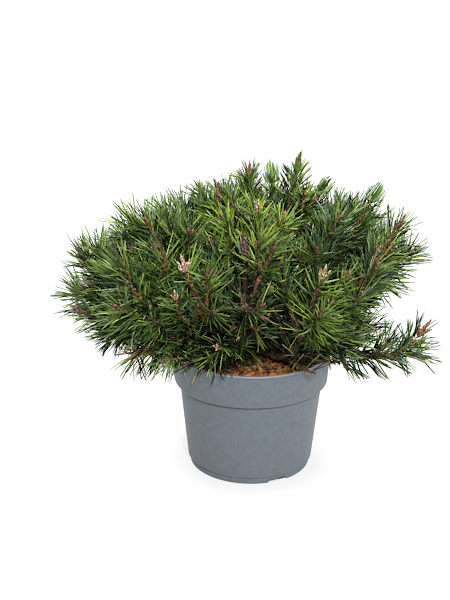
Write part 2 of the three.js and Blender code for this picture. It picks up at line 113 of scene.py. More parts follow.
# The masses of foliage, as in the part: azimuth and rise in degrees, reach to the buds, whorl
# as a fraction of it, shoots, spread, twist, lift, upturn, and the parent that the bough leaves
# at a share of its length. The last word is the mass's tint.
MASSES = [
    # name, azimuth, rise, reach, whorl, shoots, spread, twist, lift, upturn, parent, along, tint
    ("front", -6, 38, 184, 0.5, 3, 19, -10, 1.9, 0.04, "trunk", 0.62, "green"),
    ("front_right", 31, 16, 190, 0.5, 4, 26, 0, 1.6, 0.06, "trunk", 0.36, "fresh"),
    ("right_front", 58, 20, 192, 0.58, 3, 28, 20, 1.1, 0.1, "trunk", 0.84, "deep"),
    ("right", 98, 24, 197, 0.6, 4, 26, 50, 0.7, 0.12, "trunk", 0.5, "green"),
    ("back_right", 142, 30, 190, 0.62, 4, 40, 30, 0.18, 0.08, "trunk", 0.8, "green"),
    ("back", -176, 32, 180, 0.62, 3, 40, 90, 0.18, 0.08, "trunk", 0.4, "green"),
    ("back_left", -136, 22, 190, 0.62, 4, 40, 0, 0.18, 0.08, "trunk", 0.76, "deep"),
    ("left", -93, 10.5, 203, 0.62, 3, 28, 85, 0.7, 0.12, "trunk", 0.42, "green"),
    ("front_left", -56, 20, 197, 0.6, 4, 30, 60, 0.8, 0.1, "trunk", 0.84, "green"),
    ("top_front", 2, 51, 184, 0.55, 4, 26, 30, 1.5, 0.08, "trunk", 1, "yellow"),
    ("upper_right_front", 50, 46, 183, 0.6, 3, 30, 20, 0.8, 0.08, "right_front", 0.5, "deep"),
    ("upper_right", 106, 43, 184, 0.62, 3, 30, -20, 0.2, 0.08, "right", 0.5, "deep"),
    ("top_right", 136, 66, 177, 0.6, 3, 30, 2, 0.24, 0.08, "top_front", 0.3, "green"),
    ("top_back", -178, 58, 167, 0.62, 3, 34, 30, 0.18, 0.08, "top_front", 0.45, "green"),
    ("top_left", -60, 74, 173, 0.62, 3, 32, 0, 0.18, 0.08, "top_front", 0.65, "green"),
    ("upper_back_left", -105, 50, 163, 0.62, 3, 36, 0, 0.18, 0.08, "back_left", 0.5, "green"),
    ("upper_left", -65, 43, 188, 0.6, 3, 37, 30, 0.5, 0.08, "front_left", 0.5, "green"),
    ("front_left_inner", -36, 26, 184, 0.5, 3, 24, -10, 1.2, 0.08, "front", 0.4, "green"),
    ("front_low", -22, -1, 103, 0.5, 3, 40, 30, 0.5, 0, "front", 0.3, "olive"),
    ("front_right_low", 46, 4, 142, 0.6, 3, 36, -20, 0.8, 0, "front_right", 0.4, "deep"),
    ("right_low", 82, -7, 190, 0.5, 1, 0, 0, -0.17, 0.62, "right", 0.35, "blue"),
    ("back_right_low", 136, 8, 186, 0.62, 3, 42, 20, 0.18, 0.08, "back_right", 0.4, "deep"),
    ("back_low", 178, 4, 185, 0.62, 3, 42, 0, 0.18, 0.08, "back", 0.4, "blue"),
    ("back_left_low", -134, 6, 185, 0.62, 3, 42, 40, 0.18, 0.08, "back_left", 0.4, "blue"),
    ("left_low", -84, 2.5, 184, 0.62, 3, 30, 20, 0.25, 0.1, "left", 0.4, "deep"),
    ("front_left_under", -58, 3, 138, 0.58, 3, 34, 0, 0.1, -0.04, "front_left", 0.3, "brown"),
    ("front_left_low", -50, 8, 180, 0.5, 3, 30, 30, 0.8, 0.1, "front_left", 0.4, "green"),
    ("front_middle", -4, 33, 140, 0.8, 1, 0, 0, 0, 0, "front_low", 0.5, "pale"),
]

# ---------------------------------------------------------------- vectors and paths


def unit(v):
    return v / np.linalg.norm(v)


def bearing(azimuth, rise):
    """The unit vector to an azimuth and a rise, in degrees."""
    a, r = math.radians(azimuth), math.radians(rise)
    return np.array([math.sin(a) * math.cos(r), -math.cos(a) * math.cos(r), math.sin(r)])


def round_about(radius, angle, height):
    """Points at a radius from the pot's axis, an azimuth in radians, and a height."""
    places = radius * np.sin(angle), -radius * np.cos(angle), height
    return np.stack(np.broadcast_arrays(*places), -1)


def turn(start, towards, angle):
    """The direction that is turned by an angle from one direction to a square one."""
    return start * np.cos(angle) + towards * np.sin(angle)


def random_run(seed):
    """The part's own seeded run of numbers from 0 to 1."""
    state = (seed * 7919 + 12345) % 2147483647
    while True:
        state = state * 16807 % 2147483647
        yield state / 2147483647


def cross_axes(direction):
    """Two directions square to one that isn't upright: level, and up from it."""
    side = unit(np.cross(UP, direction))
    return side, unit(np.cross(direction, side))


def frames_along(path):
    """Directions, sides and tops along a path, with the side carried on without twist."""
    path = np.asarray(path, float)
    ahead = np.vstack([path[1:], path[-1:]])
    behind = np.vstack([path[:1], path[:-1]])
    directions = ahead - behind
    directions /= np.linalg.norm(directions, axis=1)[:, None]
    sides = np.empty_like(directions)
    side = cross_axes(directions[0])[0]
    for i, direction in enumerate(directions):
        side = unit(side - direction * side.dot(direction))
        sides[i] = side
    return directions, sides, np.cross(directions, sides)


def lengths_along(path):
    """How far each point is along a path."""
    return np.concatenate([[0], np.cumsum(np.linalg.norm(np.diff(path, axis=0), axis=1))])


def resample(path, step):
    """A smooth path through the same points, with a point about every step."""
    path = np.asarray(path, float)
    lengths = lengths_along(path)
    count = max(3, int(round(lengths[-1] / step)) + 1)
    wanted = np.linspace(0, lengths[-1], count)
    spans = np.clip(np.searchsorted(lengths, wanted, "right") - 1, 0, len(path) - 2)
    tangents = np.gradient(path, lengths, axis=0)
    size = (lengths[spans + 1] - lengths[spans])[:, None]
    t = (wanted - lengths[spans])[:, None] / size
    a, b = path[spans], path[spans + 1]
    ta, tb = tangents[spans] * size, tangents[spans + 1] * size
    return (
        (2 * t**3 - 3 * t**2 + 1) * a
        + (t**3 - 2 * t**2 + t) * ta
        + (3 * t**2 - 2 * t**3) * b
        + (t**3 - t**2) * tb
    )


def distance_to(path, points):
    """How near each of the points is to a path."""
    a, b = path[:-1][None], path[1:][None]
    p = np.asarray(points, float)[:, None]
    run = b - a
    t = np.clip(((p - a) * run).sum(2) / (run * run).sum(2), 0, 1)
    return np.linalg.norm(p - a - t[..., None] * run, axis=2).min(1)


# ---------------------------------------------------------------- the plant's layout


def trunk_path(shares):
    lean = np.array([*TRUNK["lean"], TRUNK["height"]])
    return np.array([[0, 0, MIX_TOP + CLEARANCE]]) + np.asarray(shares)[:, None] * lean


def trunk_radius(shares):
    shares = np.asarray(shares)
    flare = (TRUNK["foot"] - TRUNK["radius"]) * np.exp(-TRUNK["flare"] * shares)
    return TRUNK["radius"] + (TRUNK["tip"] - TRUNK["radius"]) * shares + flare


def trunk_limb():
    """The trunk, with its steps closer together in the root flare."""
    shares = (np.arange(6) / 5) ** 1.5
    return dict(path=trunk_path(shares), radii=trunk_radius(shares))


def place_on(limb, share):
    """The point and the radius at a share of a limb's steps."""
    step = share * (len(limb["path"]) - 1)
    i = min(int(step), len(limb["path"]) - 2)
    t = step - i
    point = limb["path"][i] * (1 - t) + limb["path"][i + 1] * t
    return point, limb["radii"][i] * (1 - t) + limb["radii"][i + 1] * t


def bough_limb(mass, parent):
    """A bough sweeps out from its parent and turns into the stem of its mass."""
    point, radius = place_on(parent, mass["along"])
    end = mass["whorl"] - mass["lead"] * (STEM_BEHIND + CLEARANCE)
    bend = end - mass["lead"] * LIMB["sweep"] * np.linalg.norm(end - point)
    t = np.linspace(0, 1, LIMB["steps"] + 1)[:, None]
    path = (1 - t) ** 2 * point + 2 * t * (1 - t) * bend + t**2 * end
    thick = LIMB["root"] if mass["parent"] == "trunk" else LIMB["branch"]
    root = min(thick, radius * LIMB["share"])
    radii = root + (LIMB["tip"] - root) * t[:, 0]
    return dict(path=path, radii=radii)


def shoot_axis(whorl, direction, length, upturn):
    share = (np.arange(SHOOT_STEPS + 1) / SHOOT_STEPS)[:, None]
    return whorl + direction * length * share + UP * length * upturn * share**3


def lay_out(index, row):
    """One mass of the table, with its whorl and the axes of its shoots."""
    name, azimuth, rise, reach, at, count, spread, twist, lift, upturn, parent, along, tint = row
    random = random_run(index + 1)
    out = bearing(azimuth, rise)
    whorl = CENTRE + out * reach * at
    lead = unit(out + UP * lift)
    side, top = cross_axes(lead)
    stride = reach * (1 - at)
    shoots = []
    for k in range(count):
        length = stride * (SIDE_LENGTH if k else LEAD_LENGTH)
        stretch = 1 + LENGTH_JITTER * (2 * next(random) - 1)
        lean = math.radians(spread + TURN_JITTER * (2 * next(random) - 1)) if k else 0
        angle = math.radians(twist + 360 * (k - 1) / max(count - 1, 1))
        direction = lead * math.cos(lean)
        direction = direction + side * math.sin(lean) * math.cos(angle)
        direction = direction + top * math.sin(lean) * math.sin(angle)
        shoots.append(shoot_axis(whorl, direction, length * stretch, upturn))
    return dict(
        name=name, whorl=whorl, lead=lead, shoots=shoots, parent=parent, along=along, tint=tint
    )


def clear_of_pot(points, room):
    radius = np.hypot(points[:, 0], points[:, 1])
    return (radius > POT["lip_radius"] + room) | (points[:, 2] > POT["height"] + room)


def shoot_fits(axis, limbs, others):
    """Whether a shoot stays clear of the pot, the limbs and the shoots that stand already."""
    points = axis[2:]
    room = SHOOT_RADIUS + 1
    if not clear_of_pot(points, room).all():
        return False
    for limb in limbs:
        if distance_to(limb["path"], points).min() <= limb["radii"].max() + room:
            return False
    return all(distance_to(other, points).min() > SHOOT_ROOM for other in others)


def grow_plant():
    """The trunk and boughs, and the masses with the shoots that have room."""
    limbs = {"trunk": trunk_limb()}
    masses = [lay_out(i, row) for i, row in enumerate(MASSES)]
    for mass in masses:
        limbs[mass["name"]] = bough_limb(mass, limbs[mass["parent"]])
    standing = []
    for mass in masses:
        fitting = [a for a in mass["shoots"] if shoot_fits(a, limbs.values(), standing)]
        mass["shoots"] = fitting
        standing += fitting
    return limbs, masses


# ---------------------------------------------------------------- meshes


def in_scene(name, data):
    """A new object in the scene, from a mesh, a camera or a light."""
    thing = bpy.data.objects.new(name, data)
    bpy.context.scene.collection.objects.link(thing)
    return thing


def joined(name, corners, faces, tones, finishes, smooth=True):
    """One object from lists of corners, faces of one size each, and finish numbers."""
    mesh = bpy.data.meshes.new(name)
    corners = np.concatenate(corners) * MM
    mesh.vertices.add(len(corners))
    mesh.vertices.foreach_set("co", corners.astype(np.float32).ravel())
    sizes = np.concatenate([np.full(len(f), f.shape[1]) for f in faces])
    loops = np.concatenate([f.ravel() for f in faces])
    mesh.loops.add(len(loops))
    mesh.loops.foreach_set("vertex_index", loops.astype(np.int32))
    mesh.polygons.add(len(sizes))
    starts = np.concatenate([[0], np.cumsum(sizes)[:-1]])
    mesh.polygons.foreach_set("loop_start", starts.astype(np.int32))
    mesh.polygons.foreach_set("material_index", np.concatenate(tones).astype(np.int32))
    mesh.polygons.foreach_set("use_smooth", np.full(len(sizes), smooth))
    for finish in finishes:
        mesh.materials.append(finish)
    mesh.update(calc_edges=True)
    mesh.validate()
    return in_scene(name, mesh)


class Pile:
    """Corners and faces of many small bodies that are joined into one mesh."""

    def __init__(self):
        self.corners, self.faces, self.tones, self.count = [], [], [], 0

    def add(self, corners, groups, tone=0):
        """One more body: its corners, and groups of faces with the same number of sides."""
        for faces in groups:
            self.faces.append(faces + self.count)
            self.tones.append(np.full(len(faces), tone))
        self.corners.append(corners)
        self.count += len(corners)

    def build(self, name, finishes):
        return joined(name, self.corners, self.faces, self.tones, finishes)


def ring_faces(rings, sides, first=0):
    """The four-sided faces between rings of corners."""
    i, k = np.meshgrid(np.arange(rings - 1), np.arange(sides), indexing="ij")
    a = first + i * sides + k
    b = first + i * sides + (k + 1) % sides
    return np.stack([a, b, b + sides, a + sides], axis=2).reshape(-1, 4)


def fan_faces(ring_start, sides, apex, outward=True):
    """The triangles from a ring of corners to one corner in its middle."""
    k = np.arange(sides)
    a, b = ring_start + k, ring_start + (k + 1) % sides
    middle = np.full(sides, apex)
    return np.stack([a, b, middle] if outward else [b, a, middle], axis=1)


def stacked(rings, low, high):
    """Corners and faces of a stack of rings, closed at its ends to two middle points."""
    count, sides = len(rings), len(rings[0])
    corners = np.concatenate([*rings, [low, high]])
    foot = fan_faces(0, sides, count * sides, outward=False)
    head = fan_faces((count - 1) * sides, sides, count * sides + 1)
    return corners, [ring_faces(count, sides), np.concatenate([foot, head])]


def add_tube(pile, path, radii, sides, tone, relief):
    """A closed tube round a path; relief(angle, distance) scales its radius."""
    directions, side, top = frames_along(path)
    angle = math.tau * np.arange(sides) / sides
    angles, distances = np.meshgrid(angle, lengths_along(path))
    reach = radii[:, None] * relief(angles, distances)
    rings = path[:, None] + turn(side[:, None], top[:, None], angles[..., None]) * reach[..., None]
    pile.add(*stacked(rings, path[0], path[-1]), tone)


# ---------------------------------------------------------------- needles

NEEDLE = dict(
    width=1.25,
    widths=(0.85, 1.15),
    spacing=0.8,  # mm of shoot for each pair
    spin=0.35,  # radians by which a pair may leave the spiral
    lean_low=60.0,  # degrees from the shoot at its foot, and at its tip
    lean_high=30.0,
    lean_spread=15.0,
    parting=(3, 13),  # degrees from each needle of a pair to its middle
    curl=(0.08, 0.07),  # towards the shoot's tip, over the needle's length
    wave=0.17,  # sideways, likewise
    flutter=0.7,  # how far a needle's flat side turns from facing its partner
    length_spread=0.17,
    lengths=(0.5, 1.3),
    middle_longer=0.18,  # needles in a shoot's middle are longer than at its ends by this share
    bare_spread=0.03,
    hangs=0.15,  # droop from which a shoot's needles hang
)
# how far needles stay off the pot's side where they hang and elsewhere, and how far old needles
# inside the crown end above the mix, so that it shows under them
ROOM_HANGING, ROOM_STANDING, ROOM_OVER_MIX = 2.0, 18.0, 22.0
# places along a needle where its section is set, the section's width there, and its keel's height
NEEDLE_RINGS = np.array([0.0, 0.45, 0.88])
NEEDLE_WIDTHS = np.array([0.8, 1.0, 0.78])
NEEDLE_KEEL = 0.62
NEEDLE_FACES = 16
MOST_TRIANGLES = 190000

TONES = ["shade", "deep", "blue", "green", "fresh", "yellow", "pale", "worn", "dead"]
TINTS = {
    # how many needles in a hundred have each tone, at a shoot's foot and at its tip; the many needles of
    # the shade tone at a shoot's foot, deep in the crown, are painted shade
    "deep": ([46, 34, 8, 8, 0, 0, 1, 3, 0], [8, 42, 22, 24, 2, 0, 2, 0, 0]),
    "blue": ([40, 32, 18, 6, 0, 0, 1, 3, 0], [6, 26, 44, 16, 3, 0, 5, 0, 0]),
    "green": ([42, 32, 7, 15, 0, 0, 1, 3, 0], [4, 20, 17, 46, 10, 0, 3, 0, 0]),
    "fresh": ([40, 32, 4, 18, 2, 0, 1, 3, 0], [5, 22, 6, 40, 20, 5, 2, 0, 0]),
    "yellow": ([34, 28, 2, 22, 8, 0, 2, 4, 0], [2, 8, 2, 24, 40, 22, 2, 0, 0]),
    "pale": ([50, 30, 5, 8, 0, 0, 2, 5, 0], [30, 28, 6, 22, 3, 0, 5, 6, 0]),
    # old needles inside the crown are mostly of the painted shade tone
    "old": ([60, 20, 2, 4, 0, 0, 2, 8, 4], [50, 26, 4, 6, 0, 0, 3, 7, 4]),
    "brown": ([22, 26, 6, 18, 0, 0, 4, 16, 8], [4, 26, 16, 34, 3, 0, 6, 10, 1]),
    "olive": ([36, 24, 2, 12, 0, 0, 4, 17, 5], [5, 20, 3, 40, 13, 0, 7, 10, 2]),
}
# painted shade: needles nearer to the crown's centre than this are more and more often of the near-black
# shade tone, and all of them are once they are nearer by the second length
DARK_WITHIN, DARK_FADE = 106, 50

SKINS = ["skin_warm", "skin_dark", "skin_pale"]
# sheaths are long under needles, and short and wide on bare wood, where only their foot is left
SHEATH = dict(sunk=0.6, long=(3, 6), short=(1.6, 3.2), width=1.0, bare_width=1.15)
SHEATH_SKINS = ["skin_dark", "skin_warm", "skin_pale"]
SHEATH_SHARES = [0.5, 0.28, 0.22]

# a tuft of young needles, with angles in degrees, and curls as shares of a needle's length
TUFT = dict(
    needles=44,
    size=21.0,
    width=2.0,
    spin=0.3,  # radians
    lean=(40, 110),
    curl_up=(0.3, 0.65),
    curl_in=(0.6, 1.0),
    out=1.6,
    down=(-2, 3),
    lengths=(0.75, 1.1),
    shares=[0, 0.06, 0.22, 0.16, 0.22, 0, 0.34, 0, 0],  # of each tone
)

# where wood is meant to show from the front, only this share is kept of the needles that would
# pass before it within this distance of its middle
FRONT = bearing(-4, 21)
KEPT_BEFORE_WOOD, WOOD_REACH = 0.12, 3.2


def needle_meshes(feet, directions, bends, backs, lengths, widths):
    """Corners, triangles and sides of many needles: one flat side, a keeled back, a short tip."""
    count = len(feet)
    across = np.cross(directions, backs)
    across /= np.linalg.norm(across, axis=1)[:, None]
    s = NEEDLE_RINGS[None, :, None]
    run = lengths[:, None, None]
    centres = feet[:, None] + directions[:, None] * run * s + bends[:, None] * run * s**2
    back = np.cross(across, directions)
    width = widths[:, None, None] * NEEDLE_WIDTHS[None, :, None]
    left = centres - across[:, None] * width * 0.5
    right = centres + across[:, None] * width * 0.5
    ridge = centres + back[:, None] * width * NEEDLE_KEEL
    rings = np.stack([left, right, ridge], axis=2)
    tips = feet + directions * lengths[:, None] + bends * lengths[:, None]
    corners = np.concatenate([rings.reshape(count, -1, 3), tips[:, None]], axis=1)
    per = corners.shape[1]
    quads = ring_faces(len(NEEDLE_RINGS), 3)
    halves = quads[:, [0, 1, 2]], quads[:, [0, 2, 3]]
    triangles = np.concatenate([*halves, fan_faces(per - 4, 3, per - 1), [[0, 2, 1]]])
    flat = np.arange(len(quads)) % 3 == 0
    flat = np.concatenate([flat, flat, [True, False, False, False]]).astype(int)
    faces = triangles[None] + (np.arange(count) * per)[:, None, None]
    return corners.reshape(-1, 3), faces.reshape(-1, 3), np.tile(flat, count)


def standing_before(path, feet, tips):
    """Which needles stand in front of a shoot, within the width of its wood."""
    depths = path @ FRONT
    flat_path = path - np.outer(depths, FRONT)
    before = np.zeros(len(feet), bool)
    for t in (0.2, 0.4, 0.6, 0.8, 1.0):
        points = feet * (1 - t) + tips * t
        depth = points @ FRONT
        flat = points - np.outer(depth, FRONT)
        ahead = depth > np.interp(flat[:, 2], flat_path[:, 2], depths)
        before |= ahead & (distance_to(flat_path, flat) < WOOD_REACH)
    return before


class Needles:
    """Needles gathered by tone, and made as joined pieces under a limit of triangles."""

    def __init__(self, shown, trunk):
        self.shown = shown
        self.trunk = trunk
        self.random = np.random.default_rng(SEEDS["needles"])
        self.held = {tone: [] for tone in TONES}
        self.sheaths = []

    def add(self, tone, *columns):
        """Numbers of tones, then feet, directions, bends, backs, lengths and widths."""
        feet, directions, bends, _, lengths, _ = columns
        tips = feet + (directions + bends) * lengths[:, None]
        open_view = np.ones(len(feet), bool)
        for path in self.shown:
            open_view &= ~standing_before(path, feet, tips)
        keep = open_view | (self.random.random(len(feet)) < KEPT_BEFORE_WOOD)
        tone, columns = tone[keep], [column[keep] for column in columns]
        for number in np.unique(tone):
            held = self.held[TONES[number]]
            held.append([column[tone == number] for column in columns])

    def build(self, finishes):
        """The needles of each tone, in as many pieces as the limit asks."""
        pieces = []
        for tone, parts in self.held.items():
            whole = [np.concatenate(column) for column in zip(*parts)]
            chunks = math.ceil(len(whole[0]) * NEEDLE_FACES / MOST_TRIANGLES)
            for k, index in enumerate(np.array_split(np.arange(len(whole[0])), chunks)):
                corners, faces, flat = needle_meshes(*(column[index] for column in whole))
                name = f"needles_{tone}_{k + 1}" if chunks > 1 else f"needles_{tone}"
                sides = [finishes[tone], finishes[f"{tone}_flat"]]
                pieces.append(joined(name, [corners], [faces], [flat], sides, False))
        return pieces

    def build_sheaths(self, finishes):
        """The brown sheath that holds the two needles of a pair at their foot."""
        feet, ways, lengths, widths, tones = (np.concatenate(c) for c in zip(*self.sheaths))
        side = np.cross(ways, UP + 0.01)
        side /= np.linalg.norm(side, axis=1)[:, None]
        top = np.cross(side, ways)
        base = feet - ways * SHEATH["sunk"]
        corners = [base + turn(side, top, math.tau * k / 3) * widths[:, None] for k in range(3)]
        corners = np.stack([*corners, feet + ways * lengths[:, None]], axis=1)
        sides = np.array([(0, 1, 3), (1, 2, 3), (2, 0, 3), (2, 1, 0)])
        faces = (sides[None] + (np.arange(len(feet)) * 4)[:, None, None]).reshape(-1, 3)
        skins = [finishes[name] for name in SHEATH_SKINS]
        tones = np.repeat(tones, len(sides))
        return joined("needle_sheaths", [corners.reshape(-1, 3)], [faces], [tones], skins, False)


def needle_tones(tint, share, places, random):
    """Tones by tint, with painted shade: darker at a shoot's foot, and darkest near the crown's centre.
    """
    low, high = (np.array(hundredths) / 100 for hundredths in TINTS[tint])
    mix = low[None] + (high - low)[None] * share[:, None] ** 1.2
    tones = (np.cumsum(mix, axis=1) < random.random(len(share))[:, None]).sum(1)
    # painted shade: the nearer a needle is to the crown's centre, the likelier it takes the near-black
    # shade tone
    depth = DARK_WITHIN - np.linalg.norm(places - CENTRE, axis=1)
    tones[random.random(len(share)) < depth / DARK_FADE] = TONES.index("shade")
    return tones


def have_room(feet, tips, trunk, room):
    """Which needles stay out of the pot, the mix and the trunk."""
    keep = np.ones(len(feet), bool)
    for t in (0.3, 0.55, 0.8, 1.0):
        points = feet * (1 - t) + tips * t
        radius = np.hypot(points[:, 0], points[:, 1])
        over = points[:, 2] > POT["height"] + 1
        outside = radius > POT["lip_radius"] + room
        inside = (radius < POT["lip_radius"] - POT["lip_width"] - 1) & (points[:, 2] > MIX_TOP + 1)
        keep &= over | outside | inside
        keep &= distance_to(trunk["path"], points) > trunk["radii"].max() * 0.8
    return keep


def spray(needles, axis, random, tint, length, bare=0.06, end=0.95, spacing=1.0, droop=0.0):
    """Pairs of needles in a spiral along a shoot, leaning more and more to its tip.

    The shoot's bare share has sheaths alone, the needles stop at the end share, and droop is
    how far they hang over their length.
    """
    path = resample(axis, 1.0)
    directions, sides, tops = frames_along(path)
    count = max(5, int(lengths_along(path)[-1] * end / (NEEDLE["spacing"] * spacing)))
    share = end * (np.arange(count) + random.random(count)) / count
    where = np.clip((share * (len(path) - 1)).astype(int), 0, len(path) - 1)
    angle = np.arange(count) * GOLDEN_ANGLE + random.normal(0, NEEDLE["spin"], count)
    lean = np.radians(
        NEEDLE["lean_low"]
        + (NEEDLE["lean_high"] - NEEDLE["lean_low"]) * share**0.8
        + random.normal(0, NEEDLE["lean_spread"], count)
    )
    ahead = directions[where]
    out = turn(sides[where], tops[where], angle[:, None])
    main = turn(ahead, out, lean[:, None])
    around = np.cross(ahead, out)
    foot = path[where] + out * SHOOT_RADIUS * 0.85
    longer = NEEDLE["middle_longer"]
    size = length * (1 - longer + longer * np.sin(share * math.pi))
    sizes = size * np.clip(1 + random.normal(0, NEEDLE["length_spread"], count), *NEEDLE["lengths"])
    tones = needle_tones(tint, share, path[where], random)
    room = ROOM_HANGING if droop > NEEDLE["hangs"] else ROOM_STANDING
    dressed = share > bare + random.normal(0, NEEDLE["bare_spread"], count)
    for way in (-1, 1):
        part = np.radians(random.uniform(*NEEDLE["parting"], count)) * way
        direction = turn(main, around, part[:, None])
        curl = random.normal(*NEEDLE["curl"], count)[:, None]
        wave = random.normal(0, NEEDLE["wave"], count)[:, None]
        bend = ahead * curl + around * wave + out * 0.02
        bend = bend - UP * droop * random.uniform(0.5, 1.5, count)[:, None]
        bend = bend - direction * (bend * direction).sum(1)[:, None]
        bend[np.linalg.norm(bend, axis=1) < 1e-4] += UP * 1e-3
        flutter = random.normal(0, NEEDLE["flutter"], count)[:, None]
        back = around * way + out * flutter + ahead * 0.01
        lengths = sizes * (1 + random.normal(0, 0.04, count))
        widths = np.full(count, NEEDLE["width"]) * random.uniform(*NEEDLE["widths"], count)
        tips = foot + (direction + bend) * lengths[:, None]
        keep = have_room(foot, tips, needles.trunk, room) & dressed
        if tint == "old":
            keep &= tips[:, 2] > MIX_TOP + ROOM_OVER_MIX
        columns = (foot, direction, bend, back, lengths, widths)
        needles.add(tones[keep], *(column[keep] for column in columns))
    long, short = (random.uniform(*SHEATH[size], count) for size in ("long", "short"))
    sheath = np.where(dressed, long, short)
    width = np.where(dressed, SHEATH["width"], SHEATH["bare_width"])
    shades = random.choice(3, count, p=SHEATH_SHARES)
    needles.sheaths.append((foot, main, sheath, width, shades))


def curled_tuft(needles, tip, direction, random):
    """Young needles that stand out round a bud and curl in over it into a ball."""
    count = TUFT["needles"]
    side, top = cross_axes(direction)
    angle = np.arange(count) * GOLDEN_ANGLE + random.normal(0, TUFT["spin"], count)
    out = turn(side, top, angle[:, None])
    lean = np.radians(random.uniform(*TUFT["lean"], count))[:, None]
    way = turn(direction, out, lean)
    bend = direction * random.uniform(*TUFT["curl_up"], count)[:, None] * np.sin(lean)
    bend = bend - out * random.uniform(*TUFT["curl_in"], count)[:, None] * np.sin(lean)
    foot = tip + out * TUFT["out"] - direction * random.uniform(*TUFT["down"], count)[:, None]
    lengths = TUFT["size"] * random.uniform(*TUFT["lengths"], count)
    tones = random.choice(len(TONES), count, p=TUFT["shares"])
    needles.add(tones, foot, way, bend, out, lengths, np.full(count, TUFT["width"]))


# ---------------------------------------------------------------- finishes


def linear(code):
    """A colour written as sRGB hex, as linear red, green, blue and alpha."""
    values = [int(code[i : i + 2], 16) / 255 for i in (1, 3, 5)]
    turned = [v / 12.92 if v <= 0.04045 else ((v + 0.055) / 1.055) ** 2.4 for v in values]
    return (*turned, 1.0)


def add_node(tree, kind, settings=None, links=None):
    """Adds a node with its settings and links."""
    node = tree.nodes.new(kind)
    for key, value in (settings or {}).items():
        if key in node.inputs:
            node.inputs[key].default_value = value
        else:
            setattr(node, key, value)
    for key, socket in (links or {}).items():
        tree.links.new(socket, node.inputs[key])
    return node


def new_finish(name, settings):
    """A material with one principled shader and the shader's settings."""
    material = bpy.data.materials.new(name)
    material.use_nodes = True
    tree = material.node_tree
    tree.nodes.clear()
    shader = add_node(tree, "ShaderNodeBsdfPrincipled", settings)
    add_node(tree, "ShaderNodeOutputMaterial", links={"Surface": shader.outputs["BSDF"]})
    return material, tree, shader


def set_ramp(node, stops):
    """Colour stops of a ramp, from pairs of place and hex colour."""
    points = node.color_ramp.elements
    while len(points) < len(stops):
        points.new(0.5)
    for point, (place, code) in zip(points, stops):
        point.position = place
        point.color = linear(code)


def per_metre(size_mm):
    """A texture's scale, from the size of its pattern in millimetres."""
    return 1 / (size_mm * MM)


def mottled_finish(name, stops, pattern_mm, settings, bump_mm=0.0, relief_mm=1.0, painted_highlights=None):
    """A finish whose colour wanders between close tones, with fine relief and, where given, painted
    highlights over it.
    """
    material, tree, shader = new_finish(name, settings)
    place = add_node(tree, "ShaderNodeTexCoord").outputs["Object"]
    spots = add_node(
        tree,
        "ShaderNodeTexNoise",
        {"Scale": per_metre(pattern_mm), "Detail": 5.0, "Roughness": 0.6},
        {"Vector": place},
    )
    ramp = add_node(tree, "ShaderNodeValToRGB", links={"Fac": spots.outputs["Fac"]})
    set_ramp(ramp, stops)
    colour = ramp.outputs["Color"]
    if painted_highlights:
        colour = painted_highlights(tree, place, colour)
    tree.links.new(colour, shader.inputs["Base Color"])
    if bump_mm:
        grit = add_node(
            tree,
            "ShaderNodeTexNoise",
            {"Scale": per_metre(relief_mm), "Detail": 6.0, "Roughness": 0.65},
            {"Vector": place},
        )
        bump = add_node(
            tree,
            "ShaderNodeBump",
            {"Strength": 1.0, "Distance": bump_mm * MM},
            {"Height": grit.outputs["Fac"]},
        )
        tree.links.new(bump.outputs["Normal"], shader.inputs["Normal"])
    return material


def painted_edge_highlights(tree, place, colour):
    """Painted highlights: the moulding's two proud edges, the collar's foot and the lip, are painted
    paler where they would catch the light.
    """
    axes = add_node(tree, "ShaderNodeSeparateXYZ", links={"Vector": place})
    height = add_node(
        tree, "ShaderNodeMapRange", {"From Max": POT["height"] * MM}, {"Value": axes.outputs["Z"]}
    )
    highlight_bands = add_node(tree, "ShaderNodeValToRGB", links={"Fac": height.outputs["Result"]})
    edges = [(POT["collar_height"] + 0.2, 1.2), (POT["height"] - 0.6, 1.6)]
    stops = [(0.0, "#000000")]
    for middle, width in edges:
        for step, shade in ((-1, "#000000"), (0, "#bbbbbb"), (1, "#000000")):
            stops.append(((middle + step * width) / POT["height"], shade))
    # The last stop would lie above the lip.
    set_ramp(highlight_bands, stops[:-1])
    # the paler grey of the painted highlights, mixed over the pot's colour in the bands
    worn = add_node(
        tree,
        "ShaderNodeMixRGB",
        {"Color2": linear("#939aa1")},
        {"Fac": highlight_bands.outputs["Color"], "Color1": colour},
    )
    return worn.outputs["Color"]


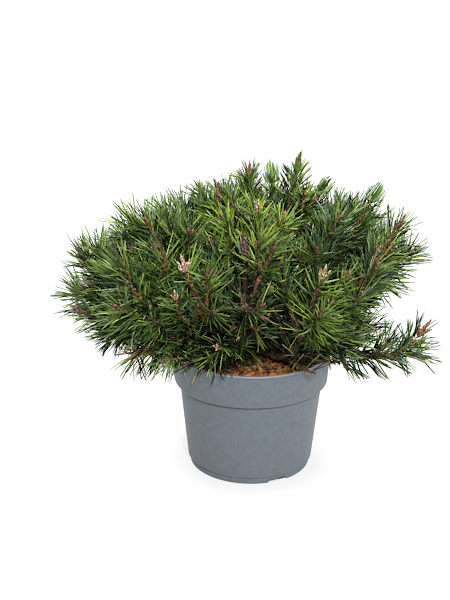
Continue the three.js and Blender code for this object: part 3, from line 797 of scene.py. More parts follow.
def make_finishes():
    finishes = {}
    # Polypropylene, injection moulded from recycled stock: satin, with faint flow clouds, and painted
    # highlights along the collar's foot and the lip.
    finishes["pot"] = mottled_finish(
        "polypropylene_moulded", [(0.3, "#52595f"), (0.7, "#5c646b")], 6,
        {"Roughness": 0.46, "IOR": 1.49}, 0.08, 1.6, painted_edge_highlights,
    )
    # Live pine needles: waxy cuticle over green, so each shows a thin pale glint.
    for tone, (dark, light, flat) in {
        # the two tones of a keeled back, and a flat side with pale rows of breathing pores, made paler
        # still as a painted highlight
        # the shade tone is near-black painted shade for needles deep in the crown
        "shade": ("#090d06", "#13190b", "#232818"),
        "deep": ("#243518", "#3c5123", "#647c45"),
        "blue": ("#2a4430", "#496643", "#7e9971"),
        "green": ("#3f5a1c", "#64812c", "#99b062"),
        "fresh": ("#546e26", "#7a9438", "#abba75"),
        "yellow": ("#788f27", "#98ad36", "#b3bf62"),
        "pale": ("#6f8457", "#91a577", "#abb993"),
        "worn": ("#655c34", "#8a7a44", "#9a9065"),
        "dead": ("#7c491f", "#a87238", "#b08250"),
    }.items():
        back, flat_side = f"needle_cuticle_{tone}", f"needle_flat_side_{tone}"
        finishes[tone] = mottled_finish(
            back, [(0.35, dark), (0.65, light)], 9, {"Roughness": 0.36, "Specular IOR Level": 0.25}
        )
        finishes[f"{tone}_flat"] = mottled_finish(
            flat_side, [(0.3, light), (0.7, flat)], 6, {"Roughness": 0.45, "Specular IOR Level": 0.25}
        )
    # Bark of old boughs: scaly plates, grey-brown with warm cracks.
    finishes["bark"] = mottled_finish(
        "pine_bark", [(0.3, "#2f231b"), (0.5, "#5c4636"), (0.7, "#8a705a")], 7,
        {"Roughness": 0.9}, 0.6, 2.4,
    )
    # Skin of last year's shoots: orange-brown to dark brown, dry and ridged.
    for tone, stops in {
        "skin_warm": [(0.38, "#2c180c"), (0.5, "#714823"), (0.64, "#bd8d4c")],
        "skin_dark": [(0.38, "#1a110b"), (0.52, "#463020"), (0.66, "#8f6d49")],
        "skin_pale": [(0.38, "#3c2a19"), (0.5, "#7d6138"), (0.64, "#c2a873")],
    }.items():
        finishes[tone] = mottled_finish(f"shoot_{tone}", stops, 2.0, {"Roughness": 0.75}, 0.25, 0.9)
    # Winter buds: overlapping scales under a thin film of resin, with pale papery edges, whose palest
    # flecks also stand in as painted highlights.
    for tone, stops in {
        "bud_red": [(0.38, "#2c1810"), (0.52, "#71452f"), (0.65, "#c59d82")],
        "bud_purple": [(0.38, "#241714"), (0.52, "#5a3d37"), (0.64, "#b39a90")],
        "bud_pink": [(0.38, "#4b3020"), (0.5, "#a27756"), (0.62, "#ecdccf")],
        "bud_brown": [(0.38, "#241810"), (0.52, "#5d432e"), (0.65, "#b4966f")],
    }.items():
        finishes[tone] = mottled_finish(f"scales_{tone}", stops, 2.0, {"Roughness": 0.5}, 0.2, 0.8)
    # Peat, nearly black when moist.
    finishes["peat"] = mottled_finish(
        "moist_peat", [(0.3, "#150e09"), (0.7, "#332317")], 5, {"Roughness": 0.95}, 0.8, 2.0
    )
    # Pine bark chips and coir: split and torn, so matt, from orange to dark brown.
    for tone, stops in {
        "chip_orange": [(0.3, "#84481b"), (0.7, "#b5732f")],
        "chip_brown": [(0.3, "#4d2b14"), (0.7, "#7c4f26")],
        "chip_dark": [(0.3, "#1f130c"), (0.7, "#3f2919")],
        "chip_straw": [(0.3, "#7c5e33"), (0.7, "#ab8c58")],
    }.items():
        finishes[tone] = mottled_finish(f"mulch_{tone}", stops, 2.5, {"Roughness": 0.85}, 0.3, 0.9)
    return finishes


# ---------------------------------------------------------------- pot


def arc(centre, radius, start, stop, steps):
    """Points of a round edge in the section, angles in degrees from outward to upward."""
    for k in range(steps + 1):
        a = math.radians(start + (stop - start) * k / steps)
        yield (centre[0] + radius * math.cos(a), centre[1] + radius * math.sin(a))


def between(a, b, steps):
    """Points from a to b, without b."""
    for k in range(steps):
        yield tuple(p + (q - p) * k / steps for p, q in zip(a, b))


def pot_inside(height):
    """The inside radius of the pot at a height."""
    p = POT
    if height < p["collar_height"]:
        low, high = p["wall_low"], p["wall_high"]
        rise = (height - p["wall_low_height"]) / (p["collar_height"] - p["wall_low_height"])
    else:
        low, high = p["collar_low"], p["collar_high"]
        rise = (height - p["collar_height"]) / (p["height"] - p["collar_height"])
    return low + (high - low) * rise - p["wall"]


def pot_section():
    """The section of the pot: up the outside and down the inside, from axis to axis."""
    p, e, pad = POT, EDGE, EDGE["pad"]
    foot, foot_top, foot_in = p["foot_radius"], p["foot_height"], p["foot_radius"] - p["foot_width"]
    wall, collar, lip_low = p["wall_high"], p["collar_height"], p["height"] - p["lip_height"]
    # the pad in the middle, the floor's underside and the foot ring
    points = [(0, 0)]
    points += arc((p["centre_foot"] - pad, pad), pad, -90, 0, 4)
    points += arc((p["centre_foot"] + 2 * pad, p["floor_under"] - pad), pad, 180, 90, 4)
    points += arc((foot_in - 2 * pad, p["floor_under"] - pad), pad, 90, 0, 4)
    points += arc((foot_in + pad, pad), pad, 180, 270, 4)
    points += arc((foot - e["foot"], e["foot"]), e["foot"], -90, 0, 6)
    # a hairline and a round shoulder, where the wall stands out over the foot ring
    points += [(foot + 0.2, foot_top - 0.3), (foot + 0.1, foot_top)]
    points += arc((foot - 0.2, foot_top + 2.6), e["shoulder"], -75, -10, 6)
    points += between((foot + 2.6, foot_top + 2.0), (wall, collar - 3), 12)
    # the groove under the collar
    points += arc((wall - e["waist"], collar - 3), e["waist"], 0, 60, 5)
    points += [(wall - p["groove"], collar - 0.3), (wall - p["groove"], collar + 0.2)]
    # the collar, and the bead of the lip
    points += arc((p["collar_low"] - e["collar"], collar + e["collar"]), e["collar"], -90, 0, 7)
    points += between((p["collar_low"] + 0.1, collar + 3), (p["collar_high"], lip_low - 0.5), 8)
    points += [(p["collar_high"] + 0.02, lip_low - 0.4)]
    points += arc((p["lip_radius"] - e["lip"], lip_low + e["lip"]), e["lip"], -60, 0, 5)
    points += arc((p["lip_radius"] - e["lip"], p["height"] - e["lip"]), e["lip"], 0, 90, 6)
    rim = p["lip_radius"] - p["lip_width"] + e["rim"]
    points += arc((rim, p["height"] - e["rim"]), e["rim"], 90, 180, 4)
    for level in (lip_low, collar + p["wall"], collar - p["meeting"], p["floor_top"]):
        points.append((pot_inside(level), level))
    return [*points, (0, p["floor_top"])]


def notch_block(azimuth):
    """A block that cuts one drainage notch with slanted flanks out of the foot ring."""
    half = POT["notch_width"] / 2
    top_half = half - POT["notch_width"] * POT["notch_slant"]
    inside = POT["foot_radius"] - 1.5 * POT["foot_width"]
    outside = POT["foot_radius"] + POT["foot_width"]
    low, high = -1, POT["notch_height"]
    section = [(inside, low, half), (inside, high, top_half), (outside, high, top_half)]
    radius, level, width = np.array([*section, (outside, low, half)]).T
    steps = np.linspace(-1, 1, 9)
    rings = round_about(radius, np.radians(azimuth + width * steps[:, None]), level)
    corners = rings.reshape(-1, 3)
    ends = np.array([(0, 3, 2, 1), np.arange(len(corners) - 4, len(corners))])
    return corners, [ring_faces(len(steps), 4), ends]


def make_pot(finish):
    """The pot, turned from its section, with the drainage notches cut from its foot."""
    section = pot_section()
    sides = 192
    angle = math.tau * np.arange(sides) / sides
    rings = [round_about(radius, angle, height) for radius, height in section[1:-1]]
    pile = Pile()
    pile.add(*stacked(rings, UP * section[0][1], UP * section[-1][1]))
    shell = pile.build("pot_shell", [finish])
    bpy.context.view_layer.objects.active = shell
    for k in range(POT["notches"]):
        pile = Pile()
        pile.add(*notch_block(POT["notch_first"] + 360 * k / POT["notches"]))
        cut = shell.modifiers.new("notch", "BOOLEAN")
        cut.object = pile.build("notch", [])
        cut.operation = "DIFFERENCE"
        cut.solver = "EXACT"
        block = cut.object
        with bpy.context.temp_override(object=shell, active_object=shell):
            bpy.ops.object.modifier_apply(modifier=cut.name)
        bpy.data.objects.remove(block)
    shell.data.polygons.foreach_set("use_smooth", [True] * len(shell.data.polygons))
    shell.data.set_sharp_from_angle(angle=math.radians(35))
    return shell


# ---------------------------------------------------------------- potting mix

BED = dict(sides=96, rings=25, lump=17, crumb=4.5, lump_height=1.0, crumb_height=0.9)
BED_DEPTH, BED_HIGHEST = 1.2, 0.6
CHIPS = dict(count=3200, spread=81, low=-0.8, high=1.5, shortest=1.5, most=(13, 6, 2.4), tilt=0.35)
CHIP_TONES = {"chip_orange": 0.38, "chip_brown": 0.3, "chip_dark": 0.2, "chip_straw": 0.12}


def crumbly(ring):
    """A ring of the mix's top, raised into lumps and crumbs."""
    for corner in ring:
        x, y, _ = corner
        coarse = noise.noise(Vector((x, y, 3.0)) / BED["lump"])
        fine = noise.noise(Vector((x, y, 9.0)) / BED["crumb"])
        uneven = BED["lump_height"] * coarse + BED["crumb_height"] * fine
        corner[2] = MIX_TOP - BED_DEPTH + uneven
    ring[:, 2] = np.minimum(ring[:, 2], MIX_TOP + BED_HIGHEST)
    return ring


def make_bed(finish):
    """The potting mix: flat sides inside the pot and an uneven crumbly top."""
    collar, wall = POT["collar_height"], POT["wall"]
    gap = CLEARANCE
    levels = [
        (pot_inside(POT["floor_top"]) - gap, POT["floor_top"] + gap),
        (pot_inside(collar - POT["meeting"]) - gap, collar + 2 * gap),
        (pot_inside(collar + wall) - gap, collar + wall + 2 * gap),
        (pot_inside(MIX_TOP - 4) - gap, MIX_TOP - 2.5),
    ]
    angle = math.tau * np.arange(BED["sides"]) / BED["sides"]
    rings = [round_about(radius, angle, height) for radius, height in levels]
    edge = levels[-1][0]
    for k in range(BED["rings"]):
        radius = edge * (1 - (k + 1) / (BED["rings"] + 1))
        rings.append(crumbly(round_about(radius, angle, 0.0)))
    pile = Pile()
    pile.add(*stacked(rings, UP * levels[0][1], UP * (MIX_TOP - 0.5)))
    return pile.build("potting_mix_bed", [finish])


def random_turns(count, tilt, random):
    """Turns about the upright with a small tilt, as matrices."""
    spins = random.uniform(0, math.tau, count)
    tilts = random.normal(0, tilt, count), random.normal(0, tilt, count)
    turns = np.empty((count, 3, 3))
    for i, (a, b, c) in enumerate(zip(spins, *tilts)):
        spun = Matrix.Rotation(a, 3, "Z") @ Matrix.Rotation(b, 3, "X")
        turns[i] = spun @ Matrix.Rotation(c, 3, "Y")
    return turns


def make_chips(finishes):
    """Bark chips, splinters and coir crumbs scattered over the mix: split, uneven blocks."""
    random = np.random.default_rng(SEEDS["chips"])
    count = CHIPS["count"]
    radius = np.sqrt(random.uniform(0, 1, count)) * CHIPS["spread"]
    angle = random.uniform(0, math.tau, count)
    height = MIX_TOP + random.uniform(CHIPS["low"], CHIPS["high"], count)
    long = random.gamma(3, 1.7, count) + CHIPS["shortest"]
    wide = long * random.uniform(0.25, 0.6, count)
    sizes = np.minimum(np.stack([long, wide, random.uniform(0.7, 2, count)], 1), CHIPS["most"])
    turns = random_turns(count, CHIPS["tilt"], random)
    box = np.array([[x, y, z] for z in (-1, 1) for y in (-1, 1) for x in (-1, 1)], float) / 2
    corners = box * (1 + random.uniform(-0.45, 0.2, (count, 8, 3))) * sizes[:, None]
    corners = np.einsum("nij,nkj->nki", turns, corners) + round_about(radius, angle, height)[:, None]
    quads = [(0, 2, 3, 1), (4, 5, 7, 6), (0, 1, 5, 4), (2, 6, 7, 3), (0, 4, 6, 2), (1, 3, 7, 5)]
    faces = (np.array(quads) + (np.arange(count) * 8)[:, None, None]).reshape(-1, 4)
    tones = np.repeat(random.choice(4, count, p=[*CHIP_TONES.values()]), len(quads))
    looks = [finishes[name] for name in CHIP_TONES]
    return joined("bark_chips", [corners.reshape(-1, 3)], [faces], [tones], looks, False)


# ---------------------------------------------------------------- wood

BARK = dict(plates=1.5, plate_length=9, depth=0.16, fine_depth=0.08, fine_scale=3.1)
LEAF_BASE = dict(depth=0.34, spirals=3, rows=5, rise=0.24, row_rise=1.3)
SKIN_SHARES = [0.45, 0.43, 0.12]


def bark_relief(seed):
    """Plates of bark: long raised islands parted by cracks, from smooth noise."""

    def relief(angle, distance):
        round_x, round_y = np.cos(angle) * BARK["plates"], np.sin(angle) * BARK["plates"]
        along = distance / BARK["plate_length"] + seed
        spots = [Vector(spot) for spot in zip(round_x.flat, round_y.flat, along.flat)]
        rough = np.reshape([noise.noise(spot) for spot in spots], angle.shape)
        fine = np.reshape([noise.noise(spot * BARK["fine_scale"]) for spot in spots], angle.shape)
        return 1 + BARK["depth"] * rough + BARK["fine_depth"] * fine

    return relief


def leaf_bases(angle, distance):
    """Raised leaf bases in a spiral, each a ramp that ends in a small ledge."""
    depth, rise = LEAF_BASE["depth"], distance * LEAF_BASE["rise"]
    spiral = angle * LEAF_BASE["spirals"] / math.tau + rise
    row = angle * LEAF_BASE["rows"] / math.tau - rise * LEAF_BASE["row_rise"]
    ramp = (spiral % 1.0) * (0.5 + 0.5 * np.cos(math.tau * row))
    return 1 - depth / 2 + depth * ramp


def make_wood(limbs, finish):
    """The trunk and boughs with the relief of their bark."""
    pile = Pile()
    for seed, (name, limb) in enumerate(limbs.items()):
        path = resample(limb["path"], 1.8)
        shares = np.linspace(0, 1, len(path))
        radii = np.interp(shares, np.linspace(0, 1, len(limb["radii"])), limb["radii"])
        if name == "trunk":
            path, radii = trunk_path(shares), trunk_radius(shares)
        add_tube(pile, path, radii, 14, 0, bark_relief(seed * 7.3))
    return pile.build("trunk_and_boughs", [finish])


def make_shoot_stems(stems, finishes, random):
    """The stems of all shoots, with a spiral of leaf bases."""
    pile = Pile()
    for axis, radius, skin in stems:
        path = resample(axis, 2.0)
        radii = radius * (1.2 - 0.25 * np.linspace(0, 1, len(path)))
        tone = random.choice(3, p=SKIN_SHARES)
        add_tube(pile, path, radii, 7, SKINS.index(skin) if skin else tone, leaf_bases)
    return pile.build("shoot_stems", [finishes[name] for name in SKINS])


# ---------------------------------------------------------------- buds

BUD_TONES = ["bud_red", "bud_purple", "bud_pink", "bud_brown"]
# the kinds of the common buds, and the share of each kind on shoots and on side twigs
COMMON_BUDS = [BUD_TONES.index(f"bud_{kind}") for kind in ("red", "brown", "purple", "pink")]
SHOOT_BUDS = [0.35, 0.35, 0.2, 0.1]
TWIG_BUDS = [0.3, 0.35, 0.25, 0.1]
BUD_LEAN = 24
BUD = dict(scale_rows=7, spirals=3, sunk=2.5, length=(0.9, 1.15))
# the smaller buds round a leading one: five round a leader longer than big
RING_BUD = dict(big=16, most=5, spin=0.25, lean=(0.6, 1.3), sunk=(2.5, 5.5), out=1.4, length=(0.5, 0.85))


def add_bud(pile, foot, direction, length, radius, tone, sides=8, rings=12):
    """A pointed bud of overlapping scales."""
    share = np.linspace(0, 1, rings)
    path = foot + direction * length * share[:, None]
    # round at its foot, thickest at a third, and drawn out to a point
    radii = radius * np.sin(math.pi * (0.2 + 0.78 * share) ** 0.8) ** 0.7 + 0.15

    def scales(angle, distance):
        row = distance / length * BUD["scale_rows"]
        spiral = (row + angle * BUD["spirals"] / math.tau) % 1.0
        return 0.8 + 0.34 * spiral

    add_tube(pile, path, radii, sides, tone, scales)


def make_buds(tips, finishes, random):
    """A leading bud with smaller ones round it, on the tip of every shoot."""
    pile = Pile()
    for tip, direction, size, tone, lean_out in tips:
        side, top = cross_axes(direction)
        length = size * random.uniform(*BUD["length"])
        add_bud(pile, tip - direction * BUD["sunk"], direction, length, size * 0.07 + 0.7, tone)
        most = RING_BUD["most"]
        ring = most if size > RING_BUD["big"] else random.integers(2, most + 1)
        first = random.uniform(0, math.tau)
        for k in range(ring):
            angle = first + math.tau * k / ring + random.normal(0, RING_BUD["spin"])
            lean = math.radians(lean_out * random.uniform(*RING_BUD["lean"]))
            out = turn(side, top, angle)
            way = turn(direction, out, lean)
            foot = tip - direction * random.uniform(*RING_BUD["sunk"]) + out * RING_BUD["out"]
            short = length * random.uniform(*RING_BUD["length"])
            add_bud(pile, foot, way, short, size * 0.05 + 0.65, tone, 5, 7)
    return pile.build("winter_buds", [finishes[name] for name in BUD_TONES])


# ---------------------------------------------------------------- the crown in full

# How each mass is dressed: the length of its needles, the bare share at the foot of its shoots,
# how many times wider than usual its pairs are spaced, how far its needles hang over their
# length, the side twigs on each shoot, the skin of its shoots and the tint of its placed twigs.
PLAIN_DRESS = dict(
    length=35.0, bare=0.06, spacing=1.0, droop=0.0, side_twigs=2, skin=None, twig_tint=None
)
DRESS = {
    "front": dict(length=25.0, bare=0.45, skin="skin_dark"),
    "front_left_inner": dict(length=30.0, bare=0.55, skin="skin_warm"),
    "front_right": dict(length=29.0, bare=0.35, skin="skin_dark"),
    "front_middle": dict(length=31.0, bare=0.0, spacing=2.2),
    "top_front": dict(length=28.0, bare=0.15),
    "top_right": dict(length=22.0, bare=0.16),
    "top_back": dict(length=26.0, bare=0.1),
    "top_left": dict(length=24.0, bare=0.1),
    "upper_right_front": dict(length=29.0, bare=0.2),
    "upper_right": dict(length=30.0, bare=0.1),
    "right": dict(length=33.0, bare=0.25, skin="skin_warm"),
    "right_front": dict(length=30.0, bare=0.2),
    "left": dict(length=36.0, spacing=1.05),
    "back_left": dict(length=32.0),
    "upper_left": dict(spacing=1.05),
    "back_right_low": dict(length=27.0),
    "front_low": dict(length=29.0, bare=0.1, spacing=1.25, droop=0.32),
    "front_right_low": dict(length=26.0, bare=0.1, spacing=1.3),
    "front_left_under": dict(length=31.0, bare=0.1, spacing=2.4, droop=0.22, twig_tint="blue"),
    "left_low": dict(length=27.0, bare=0.1, spacing=1.7, droop=0.1),
    "front_left": dict(length=38.0, spacing=1.05),
    "front_left_low": dict(length=31.0, bare=0.15, spacing=1.1),
    "right_low": dict(length=29.0, bare=0.04, spacing=1.3, droop=0.04, side_twigs=0),
}
# Buds that differ from the common ones: mass and shoot, with length, kind, lean in degrees, and
# how far back from the shoot's end they stand.
BUDS = {
    ("front_left_inner", 0): (22, "bud_pink", 24, 19),
    ("front_left_inner", 1): (15, "bud_brown", 14, 0),
    ("front", 0): (24, "bud_purple", 17, 18),
    ("front", 1): (14, "bud_brown", 24, 0),
    ("front", 2): (13, "bud_purple", 20, 0),
    ("front_right", 0): (17, "bud_pink", 16, 8),
    ("front_right", 1): (13, "bud_red", 20, 0),
    ("right_low", 0): (20, "bud_red", 24, 9),
    ("right", 0): (16, "bud_brown", 34, 0),
    ("top_right", 0): (16, "bud_red", 10, 0),
    ("top_back", 0): (17, "bud_red", 16, 0),
    ("top_back", 1): (18, "bud_brown", 12, 0),
    ("top_left", 0): (17, "bud_brown", 12, 12),
    ("left", 0): (16, "bud_brown", 20, 0),
    ("left_low", 0): (16, "bud_brown", 26, 0),
    ("front_left", 3): (15, "bud_red", 26, 0),
}
# A stem that ends in such a bud loses one step of its axis for about every so many mm.
STEP_BACK = 8
# Side twigs near the foot of each shoot, old twigs along each bough, and old shoots on the
# trunk's top: their range of spread or rise in degrees and of length, upturn and thickness.
SIDE_TWIG = dict(share=(0.1, 0.45), spread=(28, 45), length=(24, 38), upturn=0.25, thickness=0.75)
SIDE_TWIG_NEEDLES = 0.88
INNER_TWIG = dict(spread=(35, 60), length=(26, 46), upturn=0.2, thickness=0.7)
INNER_TWIG_SHARES = (0.2, 0.4, 0.55, 0.7, 0.85)
HEART_TWIG = dict(count=7, spin=8, rise=(25, 65), length=(70, 90), upturn=0.1, thickness=1.0)
PLACED_TWIG_THICKNESS = 0.8
# Twigs that hang or stand apart: mass, share of its first shoot, azimuth, rise, length, upturn.
TWIGS = [
    ("right_low", 0.04, 88, -62, 28, 0.0),
    ("right_low", 0.15, 92, 48, 30, 0.1),
    ("right_low", 0.4, 84, 42, 30, 0.1),
    ("right_low", 0.66, 92, 0, 34, 0.1),
    ("front_left_under", 0.5, -80, -14, 22, -0.1),
    ("front_left_under", 0.9, -52, -20, 18, -0.1),
    ("left_low", 0.2, -86, -12, 30, -0.1),
    ("left", 0.38, -96, 84, 36, 0.0),
    ("left", 0.6, -100, 84, 36, 0.0),
    ("upper_left", 0.6, -100, 24, 36, 0.2),
]
# Shoots whose bare wood shows from the front: mass, shoot, and the step where it starts to.
SHOWN = [
    ("front_left_inner", 0, 0),
    ("front", 0, 0),
    ("front", 1, 1),
    ("front_right", 0, 4),
    ("right", 0, 1),
    ("right", 2, 1),
    ("upper_left", 0, 2),
]
# Shoots that end in a tuft of young needles curled in over the bud.
CURLED = [("top_right", 1), ("top_right", 2), ("upper_right", 0), ("back", 1), ("back_right", 2)]


def lateral(axis, share, spread, angle, length, upturn):
    """The axis of a side shoot that leaves another one."""
    directions, sides, tops = frames_along(axis)
    i = int(round(share * (len(axis) - 1)))
    direction = turn(directions[i], turn(sides[i], tops[i], angle), spread)
    return shoot_axis(axis[i], unit(direction), length, upturn)


class Foliage:
    """The needles of the crown, and the stems and buds that are made once it has grown."""

    def __init__(self, limbs, masses):
        named = {mass["name"]: mass for mass in masses}
        shown = [named[name]["shoots"][k][first:] for name, k, first in SHOWN]
        self.needles = Needles(shown, limbs["trunk"])
        self.stems, self.tips = [], []
        for number, mass in enumerate(masses):
            random = np.random.default_rng(SEEDS["masses"] + number)
            self.grow_mass(mass, limbs[mass["name"]], random)
        self.random = np.random.default_rng(SEEDS["heart"])
        self.grow_heart(limbs["trunk"]["path"][-1], self.random)

    def build(self, finishes):
        """The stems and the buds of the whole crown."""
        stems = make_shoot_stems(self.stems, finishes, self.random)
        return stems, make_buds(self.tips, finishes, self.random)

    def add_twig(self, axis, random, tint, thickness, **look):
        """A twig with its needles."""
        spray(self.needles, axis, random, tint, **look)
        self.stems.append((axis, SHOOT_RADIUS * thickness, None))

    def grow_mass(self, mass, limb, random):
        """The shoots of a mass with their side twigs, its placed twigs and the old ones inside."""
        dress = {**PLAIN_DRESS, **DRESS.get(mass["name"], {})}
        look = {key: dress[key] for key in ("length", "spacing", "droop")}
        for k, axis in enumerate(mass["shoots"]):
            self.grow_shoot((mass["name"], k), axis, random, mass["tint"], dress, look)
            for _ in range(dress["side_twigs"]):
                self.grow_side_twig(axis, random, mass["tint"], look)
        for name, share, azimuth, rise, long, upturn in TWIGS:
            if name == mass["name"]:
                foot = mass["shoots"][0][round(share * SHOOT_STEPS)]
                twig = shoot_axis(foot, bearing(azimuth, rise), long, upturn)
                tint = dress["twig_tint"] or mass["tint"]
                self.add_twig(twig, random, tint, PLACED_TWIG_THICKNESS, **look)
        bough = resample(limb["path"], 4)
        self.grow_inner_twigs(bough, random)
        spray(self.needles, bough[-11:], random, "old", 31.0, bare=0.0, end=1.0, spacing=1.6)

    def grow_shoot(self, key, axis, random, tint, dress, look):
        """A shoot with its needles, and the bud or the tuft of young needles at its end."""
        end = unit(axis[-1] - axis[-2])
        size, kind, lean, back = BUDS.get(key, (None, None, BUD_LEAN, 0))
        dressed_to = (0.8 if key in CURLED else 0.95) - back / np.linalg.norm(axis[-1] - axis[0])
        spray(self.needles, axis, random, tint, bare=dress["bare"], end=dressed_to, **look)
        if key in CURLED:
            curled_tuft(self.needles, axis[-1], end, random)
            size, kind, lean = 7.0, "bud_brown", 20
        if kind:
            tone = BUD_TONES.index(kind)
        else:
            size = random.uniform(8, 12)
            tone = random.choice(COMMON_BUDS, p=SHOOT_BUDS)
        thickness = 1.1 if dress["bare"] > 0.4 else 0.95
        stem = axis[: round(-back / STEP_BACK) or None]
        self.stems.append((stem, SHOOT_RADIUS * thickness, dress["skin"]))
        self.tips.append((axis[-1] - end * back, end, size, tone, lean))

    def grow_side_twig(self, axis, random, tint, look):
        """A side twig near the foot of a shoot, with its bud, where the pot leaves it room."""
        angle = random.uniform(0, math.tau)
        spread = math.radians(random.uniform(*SIDE_TWIG["spread"]))
        share, length = random.uniform(*SIDE_TWIG["share"]), random.uniform(*SIDE_TWIG["length"])
        twig = lateral(axis, share, spread, angle, length, SIDE_TWIG["upturn"])
        if not clear_of_pot(twig, 3).all():
            return
        look = {**look, "length": look["length"] * SIDE_TWIG_NEEDLES}
        self.add_twig(twig, random, tint, SIDE_TWIG["thickness"], **look)
        tone = random.choice(COMMON_BUDS, p=TWIG_BUDS)
        end = unit(twig[-1] - twig[-2])
        self.tips.append((twig[-1], end, random.uniform(5, 7), tone, BUD_LEAN))

    def grow_inner_twigs(self, bough, random):
        """Twigs with old needles along a bough, mostly in the near-black tone of painted shade, which
        fill the crown from inside.
        """
        thickness = INNER_TWIG["thickness"]
        for share in INNER_TWIG_SHARES:
            angle = random.uniform(0, math.tau)
            spread = math.radians(random.uniform(*INNER_TWIG["spread"]))
            length = random.uniform(*INNER_TWIG["length"])
            twig = lateral(bough, share, spread, angle, length, INNER_TWIG["upturn"])
            if clear_of_pot(twig, 3).all():
                self.add_twig(twig, random, "old", thickness, length=30.0, spacing=1.5)

    def grow_heart(self, top, random):
        """Old shoots that stand up from the trunk's top, which close the crown's middle."""
        count, thickness = HEART_TWIG["count"], HEART_TWIG["thickness"]
        for k in range(count):
            azimuth = k * 360 / count + random.normal(0, HEART_TWIG["spin"])
            direction = bearing(azimuth, random.uniform(*HEART_TWIG["rise"]))
            length = random.uniform(*HEART_TWIG["length"])
            twig = shoot_axis(top, direction, length, HEART_TWIG["upturn"])
            self.add_twig(twig, random, "old", thickness, length=33.0, bare=0.2, spacing=1.6)


# ---------------------------------------------------------------- studio

CAMERA = dict(target=(-29.33, 0, 189.67), pitch=21.07, roll=0.51, distance=1630.4, lens=90)
LAMPS = {
    # place, height of the point that it is aimed at, and size, in metres, and power in watts
    "key_lamp": ((0.3, -2.2, 1.75), 0.25, 0.4, 95),
    "top_lamp": ((0.1, -0.2, 2.7), 0.25, 0.45, 60),
    "side_lamp": ((2.2, -0.5, 0.8), 0.2, 0.9, 18),
    "back_lamp": ((-0.9, 2.2, 1.1), 0.2, 0.8, 58),
}
WHITE = (1, 1, 1, 1)
FLOOR_RADIUS = 24000.0
ROOM_GLOW = 0.05


def make_camera():
    """A long lens that looks down a little on the plant, from its front."""
    pitch, roll = math.radians(CAMERA["pitch"]), math.radians(CAMERA["roll"])
    data = bpy.data.cameras.new("camera")
    data.sensor_fit = "VERTICAL"
    data.sensor_height = 36
    data.lens = CAMERA["lens"]
    data.clip_end = 50
    camera = in_scene("camera", data)
    tilt = Matrix.Rotation(math.pi / 2 - pitch, 4, "X") @ Matrix.Rotation(roll, 4, "Z")
    away = Vector((0, -math.cos(pitch), math.sin(pitch))) * (CAMERA["distance"] * MM)
    camera.matrix_world = Matrix.Translation(Vector(CAMERA["target"]) * MM + away) @ tilt
    bpy.context.scene.camera = camera


def make_lamp(name, place, aim_height, size, power):
    data = bpy.data.lights.new(name, "AREA")
    data.shape = "DISK"
    data.size = size
    data.energy = power
    lamp = in_scene(name, data)
    lamp.location = place
    aim = Vector((0, 0, aim_height)) - Vector(place)
    lamp.rotation_euler = aim.to_track_quat("-Z", "Y").to_euler()


def floor_finish(name, shade, glow):
    shades = {"Base Color": (shade, shade, shade, 1), "Emission Color": WHITE}
    matt = {"Roughness": 1.0, "Specular IOR Level": 0.0, "Emission Strength": glow}
    return new_finish(name, {**shades, **matt})


def glowing_floor():
    """A matt floor that glows softly, with a painted contact shadow: it glows a little less close to the
    pot.
    """
    material, tree, shader = floor_finish("pale_floor", 0.1, 1.0)
    place = add_node(tree, "ShaderNodeTexCoord")
    distance = add_node(
        tree, "ShaderNodeVectorMath", {"operation": "LENGTH"}, {0: place.outputs["Object"]}
    )
    # painted contact shadow: the glow falls from 0.97 far out to 0.8 at the pot's foot
    reach = {"From Min": 62 * MM, "From Max": 120 * MM, "To Min": 0.8, "To Max": 0.97}
    glow = add_node(
        tree,
        "ShaderNodeMapRange",
        {"interpolation_type": "SMOOTHSTEP", **reach},
        {"Value": distance.outputs["Value"]},
    )
    tree.links.new(glow.outputs["Result"], shader.inputs["Emission Strength"])
    return material


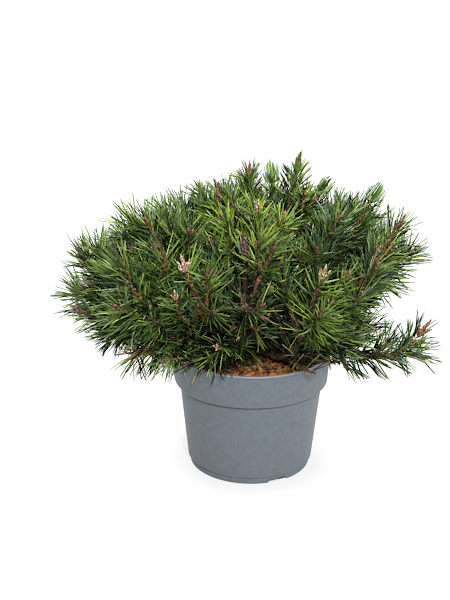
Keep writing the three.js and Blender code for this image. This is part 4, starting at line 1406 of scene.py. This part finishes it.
def make_floor():
    """A wide white floor, which doesn't glow where it would shine into the pot's hollow foot."""
    sides = 96
    angle = math.tau * np.arange(sides) / sides
    under = POT["foot_radius"] - POT["foot_width"] / 2
    rings = [round_about(radius, angle, 0.0) for radius in (under, FLOOR_RADIUS)]
    faces = [fan_faces(1, sides, 0), ring_faces(2, sides, 1)[:, ::-1]]
    tones = [np.zeros(sides), np.ones(sides)]
    finishes = [floor_finish("floor_under_pot", 0.8, 0.0)[0], glowing_floor()]
    return joined("floor", [np.zeros((1, 3)), *rings], faces, tones, finishes, False)


def make_studio():
    """A white floor in a dim room, under one strong lamp and three weaker ones."""
    floor = make_floor()
    world = bpy.data.worlds.new("room")
    bpy.context.scene.world = world
    world.use_nodes = True
    walls = world.node_tree.nodes["Background"].inputs
    walls["Color"].default_value = WHITE
    walls["Strength"].default_value = ROOM_GLOW
    for name, lamp in LAMPS.items():
        make_lamp(name, *lamp)
    bpy.context.scene.view_settings.view_transform = "Standard"


def develop():
    """A little sharpening, as a studio picture gets."""
    scene = bpy.context.scene
    scene.use_nodes = True
    tree = scene.node_tree
    tree.nodes.clear()
    layers = add_node(tree, "CompositorNodeRLayers")
    crisp = add_node(
        tree,
        "CompositorNodeFilter",
        {"filter_type": "SHARPEN_DIAMOND", "Fac": 0.1},
        {"Image": layers.outputs["Image"]},
    )
    add_node(tree, "CompositorNodeComposite", links={"Image": crisp.outputs["Image"]})


# ---------------------------------------------------------------- assembly


def stand_in(piece, slot, *nodes):
    """A piece rides on the one body and stands for the nodes it replaces, which it hides; its slot is
    not used.
    """
    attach(piece, "root")
    if nodes:
        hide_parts(*nodes)


def main():
    make_camera()
    make_studio()
    develop()
    finishes = make_finishes()
    limbs, masses = grow_plant()
    boughs = [f"bough_{mass['name']}" for mass in masses]
    foliage = [f"foliage_{mass['name']}" for mass in masses]

    stand_in(make_pot(finishes["pot"]), "pot_plastic", "pot")
    stand_in(make_bed(finishes["peat"]), "bark_chips", "potting_mix")
    stand_in(make_chips(finishes), "bark_chips")
    stand_in(make_wood(limbs, finishes["bark"]), "bark", "trunk", *boughs)

    crown = Foliage(limbs, masses)
    stems, buds = crown.build(finishes)
    stand_in(stems, "bark", *foliage)
    stand_in(buds, "bark")
    stand_in(crown.needles.build_sheaths(finishes), "bark")
    for piece in crown.needles.build(finishes):
        stand_in(piece, "foliage", *foliage)


main()
